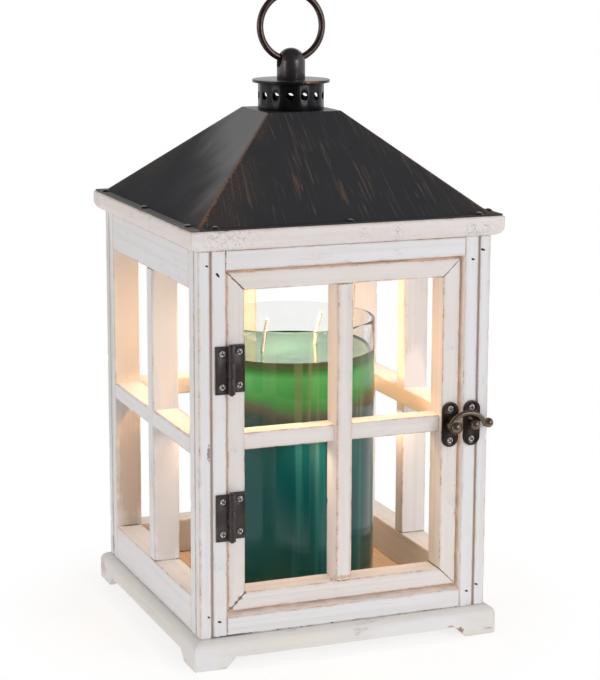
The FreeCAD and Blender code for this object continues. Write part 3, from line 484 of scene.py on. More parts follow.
def rolled_metal(colour, rough):
    """Bare rolled metal: faint rolling lines and smudges."""
    g, point = start()
    x, y, z = g.split(point)
    lines = g.noise(g.join(x * 0.03, y, z), 1.2, 3.0, 0.6)
    return g.surface(Base_Color=g.mix(lines.step(0.3, 0.7, 0, 0.5), colour, scaled(colour, 0.78)),
                     Metallic=0.9, Roughness=rough + g.noise(point, 0.05, 3.0) * 0.2,
                     Normal=g.bump(lines, 0.02))


# ---------- other finishes


def speckled(colour, other, rough, scale):
    """A matt cast or moulded surface with a fine speckle."""
    g, point = start()
    grit = g.noise(point, scale, 4.0, 0.65)
    cloud = g.noise(point, scale * 0.1, 2.0)
    return g.surface(Base_Color=g.mix((grit + cloud.swing(0.6)).step(0.35, 0.75), colour, other),
                     Roughness=rough + grit * 0.15, Normal=g.bump(grit, 0.05))


def clear_glass():
    """Clear glass that lets the lamps' light through, with a faint unevenness from moulding."""
    g, point = start()
    glass = g.principled(Base_Color=(0.905, 0.912, 0.897), Roughness=0.0, IOR=1.12, Transmission_Weight=1.0,
                         Coat_Weight=0.8, Coat_IOR=1.45, Coat_Roughness=0.04,
                         Normal=g.bump(g.noise(point, 0.03, 1.0), 0.25, 0.5))
    clear = g.add("ShaderNodeBsdfTransparent", 0, {0: (0.98, 0.987, 0.98)})
    return g.finish(g.blend(g.ray("Shadow", "Diffuse"), glass, clear))


# The wax's colours up the jar's side, by share of its height.
WAX_SIDE = [
    (0.00, (0.008, 0.080, 0.062)),
    (0.16, (0.005, 0.080, 0.074)),
    (0.45, (0.002, 0.066, 0.070)),
    (0.66, (0.006, 0.060, 0.062)),
    (0.735, (0.045, 0.080, 0.064)),
    (0.79, (0.120, 0.130, 0.088)),
    (0.83, (0.072, 0.33, 0.085)),
    (0.93, (0.11, 0.49, 0.135)),
    (0.965, (0.06, 0.20, 0.05)),
    (0.985, (0.10, 0.12, 0.05)),
]


def wax(top, low, radius):
    """Wax in a jar: teal, through olive to bright green near the top, and a dark molten pool on top."""
    g, point = start()
    x, y, z = g.split(point)
    height = (z - low) / (top - low)
    angle = g.math("ARCTAN2", y, x)
    # Paler upright stripes in the wax's colour are painted reflections of the bars round the jar.
    reflected_stripe = g.noise(g.join(angle * 5.0, z * 0.004, 0.0), 1.0, 2.0)
    sway = g.noise(g.join(angle * 1.6, z * 0.012, 0.0), 1.0, 2.0)
    cloud = g.noise(point, 0.035, 2.0)
    body = g.ramp(height + (sway - 0.5) * height.step(0.90, 0.82) * 0.16, WAX_SIDE)
    reflected_tone = g.mix(height.step(0.66, 0.78), (0.030, 0.15, 0.145), (0.24, 0.30, 0.12))
    body = g.mix(reflected_stripe.step(0.53, 0.60, 0, 0.55), body, reflected_tone)
    body = g.mix(cloud.step(0.4, 0.7, 0, 0.3), body, g.mix(0.5, body, (0.0, 0.05, 0.06)))
    side = g.principled(Base_Color=body, Roughness=0.7, Specular_IOR_Level=0.0)
    inwards = radius - (x * x + y * y) ** 0.5
    pool = g.layers(
        (0.022, 0.075, 0.066),
        (g.noise(point, 0.05, 2.0).step(0.35, 0.65), (0.038, 0.108, 0.092)),
        (inwards.step(5.5, 3.0), (0.060, 0.13, 0.11)),
        (inwards.step(2.4, 1.9), (0.0015, 0.0060, 0.0040)))
    wet = g.principled(Base_Color=pool, Roughness=0.05, Specular_IOR_Level=0.5,
                       Normal=g.bump(cloud, 0.2, 0.3))
    return g.finish(g.blend(g.split(g.coordinate("Normal"))[2].step(0.3, 0.7), side, wet))


def wick_cotton():
    """Braided cotton."""
    g, point = start()
    x, y, z = g.split(point)
    braid = g.math("SINE", z * 4.0 + g.math("ARCTAN2", y, x) * 40.0)
    fuzz = g.noise(point, 2.5, 3.0)
    return g.surface(Base_Color=g.mix(braid.step(-1, 1), (0.62, 0.55, 0.40), (0.86, 0.82, 0.70)),
                     Roughness=0.55 + fuzz * 0.3, Normal=g.bump(braid + fuzz, 0.08))


def bulb_glass(face):
    """A reflector bulb: silvered bell and a frosted face that glows warmly."""
    g, point = start()
    silver = g.mix(g.noise(point, 0.2, 2.0), (0.66, 0.65, 0.63), (0.80, 0.79, 0.76))
    shell = g.principled(Base_Color=silver, Metallic=0.9,
                         Roughness=g.noise(point, 0.4, 2.0).step(0.3, 0.7, 0.16, 0.30))
    light = g.glow(g.mix(g.cells(point, 0.22, "F1"), (1.0, 0.80, 0.50), (1.0, 0.62, 0.30)), 2.2)
    return g.finish(g.blend(g.split(point)[2].step(face + 1.4, face + 0.6), shell, light))


# ---------- pieces

RECORD = frame["record"]
SLOT_OF = {entry["node"]: entry["material_slot"] for entry in RECORD["subparts"]}
BODY_OF = {node: body for body, nodes in RECORD["behaviour"]["bodies"].items() for node in nodes}
JAR_LOW, JAR_HIGH = span("candle_jar")
WAX_LOW, WAX_HIGH = span("candle_wax")
BULB_FACE = span("halogen_bulb")[0].z
NAIL_TOP = span("roof_nails")[1].z
STRIKE_FACE = span("corner_post_front_right")[0].y - 1.2
CAP_TOP = span("vent_cap")[1].z

OLIVE = (0.70, 0.68, 0.55)
RUST = (0.30, 0.17, 0.10)
BASE_MARKS = [
    ((45, -90, 8), (44, 3, 9), (0.79, 0.785, 0.80)),
    ((-84, -90, 6), (16, 3, 12), (0.78, 0.78, 0.79)),
    ((67.5, -90, 4), (3.5, 3, 3), DARK_WOOD),
    ((62, -90, 7.4), (3, 2, 0.9), (0.40, 0.28, 0.20)),
    ((-35, -90, 12), (34, 3, 3), (0.765, 0.74, 0.65)),
    ((-90, -10, 10.6), (3, 55, 1.4), OLIVE),
    ((-90, 84, 8), (4, 7, 7), (0.60, 0.54, 0.52)),
]
FRAME_MARKS_AND_PAINTED_LIGHT = [
    ((-79.4, -85, 120), (1.4, 2, 5.5), (0.25, 0.21, 0.18)),
    ((-83, 7.5, 211.6), (2, 1.6, 1.6), DARK_WOOD),
    ((-83, -69.9, 221.8), (2, 1.6, 1.6), DARK_WOOD),
    ((-85, 78, 24), (2, 2.5, 9), (0.45, 0.40, 0.35)),
    ((-66, -85, 17), (18, 2, 0.8), DIRT_AND_SHADE),
    # Painted light: the right upright's front face lighter.
    ((77, -4.9, 128), (12, 2.5, 34), (0.93, 0.92, 0.93)),
    # Painted shade: the back-left post's inner face darker.
    ((-76, 69.5, 168), (12, 2.5, 62), (0.75, 0.71, 0.67)),
    # Painted lamplight: warm light on the right crossbar's inner face.
    ((69.5, 0, 121.2), (2, 62, 9), (0.92, 0.80, 0.62)),
    ((-83, -1, 37.2), (4, 6.5, 0.9), DIRT_AND_SHADE),
    ((-76, 69.5, 37.2), (8, 2, 0.8), DIRT_AND_SHADE),
    # Painted shade, darker still, low on the back-left post's inner face.
    ((-76, 69.5, 74), (12, 2.5, 56), (0.58, 0.51, 0.46)),
    # Painted lamplight high on the left upright's front face, and painted shade low on it.
    ((-77, -4.9, 168), (12, 2.5, 62), (0.88, 0.79, 0.70)),
    ((-77, -4.9, 72), (12, 2.5, 60), (0.66, 0.635, 0.63)),
    # Painted shade down the back-left post's left face.
    ((-85, 79, 150), (3, 9, 110), (0.66, 0.655, 0.64)),
    ((-83, -2.5, 76), (2, 2.2, 24), (0.76, 0.62, 0.55)),
    ((-55, 72, 30), (12, 4, 7), (0.40, 0.34, 0.21)),
]
DOOR_MARKS_AND_PAINTED_LIGHT = [((-66.3 + 2.7 * step, -82, 31.3 + 2.7 * step), (1.7, 2, 1.7), RUST) for step in range(4)]
DOOR_MARKS_AND_PAINTED_LIGHT += [
    # Painted lamplight: warm light on the door upright's left side.
    ((-4.9, -74.5, 165), (2, 12, 60), (0.92, 0.78, 0.66)),
    ((0, -82, 41.5), (7.5, 3, 1.4), BARE_WOOD),
    ((-6, -80, 41), (1.6, 6, 2), RUST),
]

FINISHES = {
    "base_wood": wood(rub=-0.12, stain=0.30, scratches=0.9, paint=(0.765, 0.745, 0.73),
                      shade=(0.71, 0.685, 0.665), marks=BASE_MARKS),
    "frame_wood": wood(rub=-0.02, stain=0.20, scratches=0.35, marks=FRAME_MARKS_AND_PAINTED_LIGHT),
    "cornice_wood": wood(rub=-0.10, stain=0.30, scratches=0.5, paint=(0.82, 0.76, 0.745),
                         shade=(0.72, 0.67, 0.64), crackle=0.35),
    "door_wood": wood(rub=0.05, stain=0.34, scratches=0.3, paint=(0.80, 0.755, 0.735),
                      shade=(0.70, 0.64, 0.61), strokes=0.6, marks=DOOR_MARKS_AND_PAINTED_LIGHT),
    "floor_wood": floor_wood(),
    "brad_steel": speckled((0.02, 0.018, 0.016), (0.06, 0.05, 0.045), rough=0.6, scale=2.0),
    "screw_steel": bright_screw(),
    "hinge_bronze": rubbed_paint((0.048, 0.034, 0.034), (0.20, 0.135, 0.095), width=0.7, wear=0.34,
                                 rough=0.36, streak=0.5),
    "latch_brass": rubbed_paint((0.060, 0.046, 0.040), (0.40, 0.29, 0.17), width=1.0, wear=0.46,
                                rough=0.26, streak=0.3, metallic=0.85,
                                raised=(1, STRIKE_FACE - 0.4, STRIKE_FACE - 1.0, (0.155, 0.120, 0.092))),
    "roof_metal": roof_metal(),
    # The nail heads' tops are painted lighter: a painted highlight.
    "nail_metal": rubbed_paint((0.014, 0.014, 0.015), (0.26, 0.23, 0.20), width=0.8, wear=0.3,
                               rough=0.24, streak=0.3,
                               raised=(2, NAIL_TOP - 0.75, NAIL_TOP - 0.25, (0.22, 0.22, 0.21))),
    # The cap's top and the finial above it are painted lighter: a painted sheen.
    "vent_metal": rubbed_paint((0.010, 0.010, 0.0125), (0.25, 0.10, 0.055), width=0.9, wear=0.60,
                               rough=0.25, streak=0.12, metallic=0.75,
                               raised=(2, CAP_TOP - 0.5, CAP_TOP, (0.066, 0.060, 0.063)),
                               glint=((6.0, -21.0, CAP_TOP - 1.0), (11.0, 3.0, 1.2))),
    "ring_metal": rubbed_paint((0.075, 0.055, 0.050), (0.26, 0.15, 0.11), width=0.0, wear=0.12,
                               rough=0.25, streak=0.15, metallic=0.9, relief=0.001),
    "lamp_sheet": rolled_metal((0.78, 0.77, 0.75), rough=0.32),
    "socket_ceramic": speckled((0.82, 0.79, 0.74), (0.88, 0.86, 0.82), rough=0.55, scale=0.6),
    "bulb_glass": bulb_glass(BULB_FACE),
    "gland_rubber": speckled((0.018, 0.018, 0.018), (0.035, 0.034, 0.033), rough=0.5, scale=1.2),
    "jar_glass": clear_glass(),
    "candle_wax": wax(WAX_HIGH.z, WAX_LOW.z, WAX_HIGH.x),
    "wick_cotton": wick_cotton(),
}
for slot, material in FINISHES.items():
    material.name = slot


def coat(thing, node):
    """Give a piece the slot and the finish of a CAD node."""
    slot = SLOT_OF[node]
    thing.data.materials.clear()
    thing.data.materials.append(FINISHES[slot])


def dress(thing, node):
    """Make a new piece stand for a CAD node."""
    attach(thing, BODY_OF[node])
    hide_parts(node)
    coat(thing, node)


def shaped(name, points, faces, smooth_up_to=50, **values):
    """A mesh object from millimetre points, with a named value for each point."""
    mesh = bpy.data.meshes.new(name)
    mesh.from_pydata([Vector(point) * MM for point in points], [], faces)
    for key, numbers in values.items():
        if isinstance(numbers[0], (int, float)):
            mesh.attributes.new(key, "FLOAT", "POINT").data.foreach_set("value", numbers)
        else:
            flat = [part for vector in numbers for part in vector]
            mesh.attributes.new(key, "FLOAT_VECTOR", "POINT").data.foreach_set("vector", flat)
    tidy = bmesh.new()
    tidy.from_mesh(mesh)
    bmesh.ops.recalc_face_normals(tidy, faces=tidy.faces)
    tidy.to_mesh(mesh)
    tidy.free()
    mesh.shade_smooth()
    mesh.set_sharp_from_angle(angle=math.radians(smooth_up_to))
    return new_object(name, mesh)


def tube_faces(rings, width, first=0, closed=False):
    """Quads between rings of points, and the two end faces of a tube that isn't closed on itself."""
    faces = []
    for ring in range(rings if closed else rings - 1):
        here = first + ring * width
        there = first + (ring + 1) % rings * width
        for spot in range(width):
            right = (spot + 1) % width
            faces.append((here + spot, here + right, there + right, there + spot))
    if not closed:
        last = first + (rings - 1) * width
        faces += [tuple(range(first, first + width)), tuple(range(last, last + width))]
    return faces


# ---------- wooden bars

SHOULDER = 2.2
ROUND = 0.7
END_ROUND = 0.35
# A bar's ends: distance from the end, wear, and how far the section is drawn in.
NEAR_END = ((0.0, 1.0, END_ROUND), (0.35, 0.75, 0.0), (0.9, 0.3, 0.0), (SHOULDER, 0.0, 0.0))
STATION_GAP = 2.5
JOINT_SEAM = 0.80
# How worn edges wander: their depth, the scale of hollows and nicks, where nicks begin and their strength.
WOBBLE = 0.12
HOLLOW_SCALE = 0.09
NICK_SCALE = 0.33
NICK_START = 0.42
NICK = 2.2
AXES = {"x": (0, 1, 2), "y": (1, 0, 2), "z": (2, 0, 1)}
SIDES = (("front", "x", -1), ("back", "x", 1), ("left", "y", -1), ("right", "y", 1))
QUARTER = (15, 30, 45, 60, 75)


class Corner:
    """A corner of a bar's section. A round of 0 is a sharp inner corner."""

    def __init__(self, a, b, turn=ROUND, groove=0.0, seam=0.0):
        self.point = Vector((a, b))
        self.turn = turn
        self.groove = groove
        self.seam = seam


def outline(corners):
    """The section's points: (place, way inwards, edge, groove, seam)."""
    points = []
    for index, corner in enumerate(corners):
        here = corner.point
        back = corners[index - 1].point - here
        ahead = corners[(index + 1) % len(corners)].point - here
        if not corner.turn:
            points.append((here, Vector((0, 0)), 0.0, corner.groove, corner.seam))
            continue
        between = back.normalized() + ahead.normalized()
        legs = []
        for leg in (back, ahead):
            reach = min(SHOULDER, 0.4 * leg.length)
            way = leg.normalized()
            legs.append([(here + way * reach, 0.0), (here + way * min(corner.turn * 1.7, 0.8 * reach), 0.45),
                         (here + way * min(corner.turn, 0.5 * reach), 0.75)])
        depth = (1 - math.sqrt(0.5)) * min(corner.turn, 0.2 * min(back.length, ahead.length))
        for place, edge in [*legs[0], (here + between * depth, 1.0), *reversed(legs[1])]:
            points.append((place, between.normalized(), edge, corner.groove, corner.seam * edge))
    return points


def rectangle(low, high, turn=ROUND, seams=()):
    """Corners of a plain section; seams names the sides, of a- a+ b- b+, that lie in a dark joint."""
    spots = (("a-", "b-"), ("a+", "b-"), ("a+", "b+"), ("a-", "b+"))
    return [Corner(high[0] if "a+" in spot else low[0], high[1] if "b+" in spot else low[1], turn,
                   seam=JOINT_SEAM if set(seams) & set(spot) else 0.0) for spot in spots]


def quarter_round(outer, centre_height, radius, turns, up):
    """Corner values along a moulding's quarter round; up is 1 for a top edge and -1 for a lower one."""
    return [(outer - radius + radius * math.sin(math.radians(turn)),
             centre_height + up * radius * math.cos(math.radians(turn)), 0.0) for turn in turns]


def reaches(node, axis):
    """A node's box, and how near to and far from the middle it reaches, across its axis."""
    low, high = span(node)
    across = AXES[axis][1]
    return low, high, *sorted((abs(low[across]), abs(high[across])))


HINGE_SPANS = [span("upper_hinge_door_leaf"), span("lower_hinge_door_leaf")]


def behind_hinge(spot):
    return any(abs(spot.x - low.x) < 12 and low.z - 1 < spot.z < high.z + 1 for low, high in HINGE_SPANS)


def stations(section, low_end, high_end, stops):
    """The rings along a bar: (which end it goes by, place or distance, wear, how far it is drawn in)."""
    first = min(low_end(*point) for point, *rest in section) + SHOULDER
    last = max(high_end(*point) for point, *rest in section) - SHOULDER
    count = max(4, int((last - first) / STATION_GAP))
    places = [first + (last - first) * (step + 1) / (count + 1) for step in range(count)]
    return ([("low", *ring) for ring in NEAR_END]
            + [("mid", place, 0.0, 0.0) for place in sorted(places + stops)]
            + [("high", *ring) for ring in reversed(NEAR_END)])


def station_place(kind, amount, low, high):
    """Where a ring crosses one line of the section; a mitred end cuts the inner lines short."""
    if kind == "low":
        return low + amount
    if kind == "high":
        return high - amount
    return min(max(amount, low + SHOULDER), high - SHOULDER)


def bar(node, axis, corners, low_end, high_end, joints, stops=(), shape=None, wobble=WOBBLE, gap=None):
    """A bar swept along an axis, in the place of a CAD node.

    low_end and high_end give each point's place along the axis, and joints how dark the ends are.
    gap names the side, as (0 or 1, place across), that faces the narrow gap round the door.
    """
    along, first, second = AXES[axis]
    section = outline(corners)
    middle = sum((point for point, *rest in section), Vector((0, 0))) / len(section)
    dice = random.Random(node + "_wood")
    seed = Vector([dice.random() for part in range(3)])
    grain = Vector([1.0 if part == along else 0.0 for part in range(3)])
    rings = stations(section, low_end, high_end, list(stops))
    points = []
    values = {key: [] for key in ("edge", "end", "groove", "seam", "gap")}
    for kind, amount, worn, inset in rings:
        for place, inwards, edge, groove, seam in section:
            flat = place + (middle - place).normalized() * inset
            spot = Vector((0, 0, 0))
            spot[along] = station_place(kind, amount, low_end(*place), high_end(*place))
            spot[first] = flat.x
            spot[second] = flat.y
            if edge or worn:
                hollow = 0.5 + 0.5 * noise.noise(spot * HOLLOW_SCALE + seed * 90)
                nick = max(0.0, noise.noise(spot * NICK_SCALE + seed * 50) - NICK_START)
                shift = inwards * edge * (wobble * hollow + NICK * nick * wobble / WOBBLE)
                spot[first] += shift.x
                spot[second] += shift.y
            points.append(shape(spot) if shape else spot)
            in_gap = gap and abs(place[gap[0]] - gap[1]) < 0.05
            # Behind a hinge the gap gets the darkest seam value: painted shade under the hinge.
            under_hinge_shade = in_gap and behind_hinge(spot)
            values["edge"].append(max(edge, worn * 0.8))
            values["end"].append(worn * joints[0 if kind == "low" else 1])
            values["groove"].append(groove)
            values["seam"].append(1.0 if under_hinge_shade else seam)
            values["gap"].append(1.0 if in_gap and not under_hinge_shade else 0.0)
    total = len(points)
    thing = shaped(node + "_wood", points, tube_faces(len(rings), len(section)), **values,
                   grain=[grain] * total, seed=[seed] * total)
    dress(thing, node)


def straight_bar(node, axis, joints, seams=(), inset=((0, 0), (0, 0)), turn=ROUND, gap=None):
    """A plain bar, its section drawn in by inset where another bar covers it."""
    low, high = span(node)
    along, *across = AXES[axis]
    near = [low[part] + drawn_in[0] for part, drawn_in in zip(across, inset)]
    far = [high[part] - drawn_in[1] for part, drawn_in in zip(across, inset)]
    bar(node, axis, rectangle(near, far, turn, seams), lambda a, b: low[along], lambda a, b: high[along],
        joints, gap=gap)


def mitred_bar(node, axis, sign, spots, *values, **named):
    """A bar on one of the four sides, mitred at both ends; spots give its corners as if sign were 1."""
    corners = [Corner(sign * a, *rest) for a, *rest in spots]
    bar(node, axis, corners, lambda a, b: -abs(a), lambda a, b: abs(a), *values, **named)


def base_skirt(side, axis, sign):
    """A mitred moulding with a rounded top edge, a rabbet for the floor board and feet at its ends."""
    node = "base_skirt_" + side
    low, high, inner, outer = reaches(node, axis)
    board_low, board_high = span("floor_board")
    ledge, shelf = board_high.x + 0.25, board_low.z
    top, along = high.z, AXES[axis][0]
    bend, foot, rise = 5.0, 18.0, 6.0
    spots = [(inner, 0.0), (outer, 0.0, 0.9), (outer, top - bend, 0.0),
             *quarter_round(outer, top - bend, bend, reversed(QUARTER), 1),
             (outer - bend, top, 0.0), (ledge, top, 0.3), (ledge, shelf, 0.0), (inner, shelf, 0.3)]

    def arched(spot):
        """The point, lifted where the skirt is cut away between its feet."""
        lift = min(rise, max(0.0, outer - foot - abs(spot[along])))
        if lift:
            spot.z = max(spot.z, lift + 0.4 * min(spot.z, SHOULDER))
        return spot

    stops = [end * (outer - foot - past) for end in (-1, 1)
             for past in (0.0, 0.4, rise * 0.5, rise - 0.3, rise, rise + 0.5)]
    mitred_bar(node, axis, sign, spots, (0.55, 0.55), stops, arched, 0.22)


def corner_post(name, sx, sy):
    """A square post with a routed groove on each outer face."""
    inset, width, depth = 7.0, 1.5, 1.6
    node = "corner_post_" + name
    low, high = span(node)
    near, far = sorted((abs(low.x), abs(high.x)))
    outer_line = far - inset + width / 2
    inner_line = far - inset - width / 2
    floor = far - depth
    spots = [(near, near, 0.6, 0), (far, near, 0.6, 0), (far, inner_line, 0.25, 0), (floor, inner_line, 0, 1),
             (floor, outer_line, 0, 1), (far, outer_line, 0.25, 0), (far, far, 0.8, 0),
             (outer_line, far, 0.25, 0), (outer_line, floor, 0, 1), (inner_line, floor, 0, 1),
             (inner_line, far, 0.25, 0), (near, far, 0.6, 0)]
    corners = [Corner(sx * a, sy * b, turn, groove) for a, b, turn, groove in spots]
    bar(node, "z", corners, lambda a, b: low.z, lambda a, b: high.z, (0.7, 0.7),
        gap=(0, sx * near) if sy < 0 else None)


def cornice(side, axis, sign):
    """A mitred moulding with a rounded lower edge."""
    node = "cornice_" + side
    low, high, inner, outer = reaches(node, axis)
    bend = 5.5
    spots = [(inner, low.z, 0.4), (outer - bend, low.z, 0.0, 0.0, 1.0),
             *quarter_round(outer, low.z + bend, bend, QUARTER, -1),
             (outer, low.z + bend, 0.0), (outer, high.z, 0.8), (inner, high.z, 0.4)]
    mitred_bar(node, axis, sign, spots, (0.45, 0.45), wobble=0.2)


def rails_and_bars():
    """The front rails, and the rails and half-lapped glazing bars of the other three sides."""
    over, under = span("front_top_rail")[0].z, span("front_bottom_rail")[1].z
    straight_bar("front_top_rail", "x", (0.75, 0.5), gap=(1, over))
    straight_bar("front_bottom_rail", "x", (0.75, 0.5), seams=("b-",), gap=(1, under))
    cover = 0.15
    for side, axis in (("left", "y"), ("right", "y"), ("back", "x")):
        straight_bar(side + "_top_rail", axis, (0.5, 0.5))
        straight_bar(side + "_bottom_rail", axis, (0.5, 0.5), seams=("b-",))
        outside = (cover, 0) if side == "left" else (0, cover)
        inside = outside[::-1]
        straight_bar(side + "_upright", "z", (1.25, 0.8),
                     inset=((0, 0), inside) if side == "back" else (inside, (0, 0)))
        straight_bar(side + "_crossbar", axis, (0.5, 0.5), inset=(outside, (0, 0)))


def door():
    """Stiles and rails mitred at 45 degrees, and the two half-lapped bars."""
    low, high = span("door_stile_left", "door_stile_right")
    member = span("door_stile_left")[1].x - low.x
    outer, turn, wobble = high.x, 0.6, 0.16
    for side, sign in (("left", -1), ("right", 1)):
        corners = rectangle((outer - member, low.y), (outer, high.y), turn)
        for corner in corners:
            corner.point.x *= sign
        bar("door_stile_" + side, "z", corners, lambda a, b: low.z + outer - abs(a),
            lambda a, b: high.z - outer + abs(a), (1.0, 1.0), wobble=wobble, gap=(0, sign * outer))
    for side, sign, base in (("bottom", 1, low.z), ("top", -1, high.z)):
        corners = rectangle((low.y, base), (high.y, base + sign * member), turn)
        bar("door_rail_" + side, "x", corners, lambda a, b: low.x + abs(b - base),
            lambda a, b: high.x - abs(b - base), (1.25, 0.7), wobble=wobble, gap=(1, base))
    straight_bar("door_upright", "z", (0.7, 0.9), inset=((0, 0), (0, 0.15)), turn=1.1)
    straight_bar("door_crossbar", "x", (0.6, 0.6), turn=turn)


for side in SIDES:
    base_skirt(*side)
for front, sy in (("front_", -1), ("back_", 1)):
    corner_post(front + "left", -1, sy)
    corner_post(front + "right", 1, sy)
for side in SIDES:
    cornice(*side)
rails_and_bars()
door()
straight_bar("floor_board", "y", (0.6, 0.6), turn=0.5)

# ---------- roof

ROOF_STEPS = 22
SIDE_STEPS = 24


def square_ring(half, height, corner=0.8):
    """Points round a square with rounded corners, with (around, nearness to a hip)."""
    points = []
    straight = half - corner
    diagonal = half - corner * (1 - math.sqrt(0.5))
    for quarter in range(4):
        turn = Matrix.Rotation(quarter * math.pi / 2, 2)
        for step in range(SIDE_STEPS):
            u = -straight + 2 * straight * step / (SIDE_STEPS - 1)
            points.append((turn @ Vector((u, -half)), u, abs(u) / half))
        points.append((turn @ Vector((diagonal, -diagonal)), straight, 1.0))
    return [(Vector((point.x, point.y, height)), u, hip) for point, u, hip in points]


def roof():
    """A folded hood: a flat flange, four slopes that sag a little, an open top and the inner faces."""
    low, high = span("roof_hood")
    flange_half, top = high.x, high.z
    flange_width, top_half, wall, vent, sag = 5.3, 21.9, 1.4, 15.0, 0.35
    slope_half = flange_half - flange_width
    rise, run = top - FLANGE_TOP, top_half - slope_half
    length = math.hypot(run, rise)
    # Each ring has its points, its distance down the slope, and 1 where it is on a slope.
    rings = [(square_ring(*ring), -1, 0.0) for ring in (
        (flange_half - 0.15, low.z + 0.02, 1.2), (flange_half, low.z + 0.3, 1.3),
        (flange_half - 0.12, FLANGE_TOP - 0.08, 1.2), (flange_half - 0.4, FLANGE_TOP, 1.2),
        (slope_half + 0.5, FLANGE_TOP, 0.9))]
    for step in range(ROOF_STEPS + 1):
        share = step / ROOF_STEPS
        ring = square_ring(slope_half + run * share, FLANGE_TOP + rise * share, 0.9)
        rings.append((ring, length * (1 - share), 1.0))
    rings.append((square_ring(top_half - 0.5, top), -1, 0.0))
    for height in (top, top - SHEET):
        circle = [(Vector((point.x, point.y, 0)).normalized() * vent + Vector((0, 0, height)), u, 0.0)
                  for point, u, hip in square_ring(top_half, top)]
        rings.append((circle, -1, 0.0))
    rings.append((square_ring(top_half - wall + 0.9, top - SHEET), -1, 0.0))
    for share in (0.75, 0.5, 0.25, 0.0):
        ring = square_ring(slope_half + run * share - wall, FLANGE_TOP + (rise - SHEET) * share)
        rings.append((ring, -1, 0.0))
    rings.append((square_ring(slope_half - wall, low.z + 0.02), -1, 0.0))

    points = []
    values = {key: [] for key in ("around", "down", "hip", "brushed")}
    for ring, distance, brush in rings:
        for index, (point, u, hip) in enumerate(ring):
            spot = point.copy()
            if brush and 0 < distance < length:
                fade = min(1.0, distance / 8, (length - distance) / 8)
                give = sag * fade * (1 - hip ** 6) * (noise.noise(point * 0.03) - 0.4)
                spot += Vector((point.x, point.y, 0)).normalized() * give
            points.append(spot)
            values["around"].append(u)
            values["down"].append(max(distance, 0.0))
            values["hip"].append(hip if brush else 0.6 * hip)
            # Each slope has its own brush marks: the same stroke never runs over a hip.
            values["brushed"].append(brush * (1.0 + SLOPE_CODE * (index // (SIDE_STEPS + 1))))
    faces = tube_faces(len(rings), len(rings[0][0]), closed=True)
    dress(shaped("roof_hood_metal", points, faces, 28, **values), "roof_hood")


roof()

# ---------- turned and bent pieces


def revolved(name, node, profile, steps, smooth_up_to):
    """A profile of (radius, height) turned about the upright axis, from its middle out and back."""
    points, starts = [], []
    for radius, height in profile:
        starts.append(len(points))
        turns = circle_turns(steps) if radius else [0.0]
        points += [Vector((radius * math.cos(turn), radius * math.sin(turn), height)) for turn in turns]
    faces = []
    rows = list(zip(profile, starts))
    for ((radius, _), here), ((next_radius, _), there) in zip(rows, rows[1:]):
        for step in range(steps):
            ahead = (step + 1) % steps
            if radius and next_radius:
                faces.append((here + step, here + ahead, there + ahead, there + step))
            elif radius:
                faces.append((here + step, here + ahead, there))
            else:
                faces.append((here, there + ahead, there + step))
    dress(shaped(name, points, faces, smooth_up_to), node)


def arc(centre_r, centre_z, radius, first, last, steps=6):
    """Points of a profile's round, angles in degrees from outwards to upwards."""
    turns = [math.radians(first + (last - first) * step / steps) for step in range(steps + 1)]
    return [(centre_r + radius * math.cos(turn), centre_z + radius * math.sin(turn)) for turn in turns]


JAR_COVE = 2.5
JAR_STEPS = 128
WAX_GRIP = 0.06
POOL_DEPTH = 1.5
# How the molten wax climbs the glass: distance in from the wall, and down from the top.
MENISCUS = ((0.0, 0.1), (0.3, 0.35), (1.1, 0.8), (2.6, 1.2), (5.0, 1.45))


def candle_jar():
    """A straight glass jar with a rounded heel and lip, and a hollow under its floor."""
    outer, bore = JAR_HIGH.x, WAX_HIGH.x
    bottom, rim, floor = JAR_LOW.z, JAR_HIGH.z, WAX_LOW.z
    lip, heel, hollow = (outer - bore) / 2, 3.0, 0.6
    shares = (0.25, 0.5, 0.75)
    profile = [(0, bottom + hollow), (outer - 12, bottom + hollow), (outer - 8, bottom)]
    profile += arc(outer - heel, bottom + heel, heel, -90, 0)
    profile += [(outer, bottom + (rim - bottom) * share) for share in shares]
    profile += arc(outer - lip, rim - lip, lip, 0, 180, 10)
    profile += [(bore, bottom + (rim - bottom) * share) for share in reversed(shares)]
    profile += arc(bore - JAR_COVE, floor + JAR_COVE, JAR_COVE, 0, -90)
    profile += [(0, floor)]
    revolved("candle_jar_glass", "candle_jar", profile, JAR_STEPS, 60)


def candle_wax():
    """The wax: it fills the jar, grips its glass, and has a molten top."""
    edge = WAX_HIGH.x + WAX_GRIP
    floor, top = WAX_LOW.z, WAX_HIGH.z
    profile = [(0, floor - WAX_GRIP), (edge - JAR_COVE, floor - WAX_GRIP)]
    profile += arc(edge - JAR_COVE, floor + JAR_COVE - WAX_GRIP, JAR_COVE, -90, 0)
    profile += [(edge, floor + (top - floor) * share / 12) for share in range(1, 12)]
    profile += [(edge - inwards, top - down) for inwards, down in MENISCUS]
    profile += [(edge * share, top - POOL_DEPTH) for share in (0.6, 0.3, 0)]
    revolved("candle_wax_body", "candle_wax", profile, JAR_STEPS, 60)


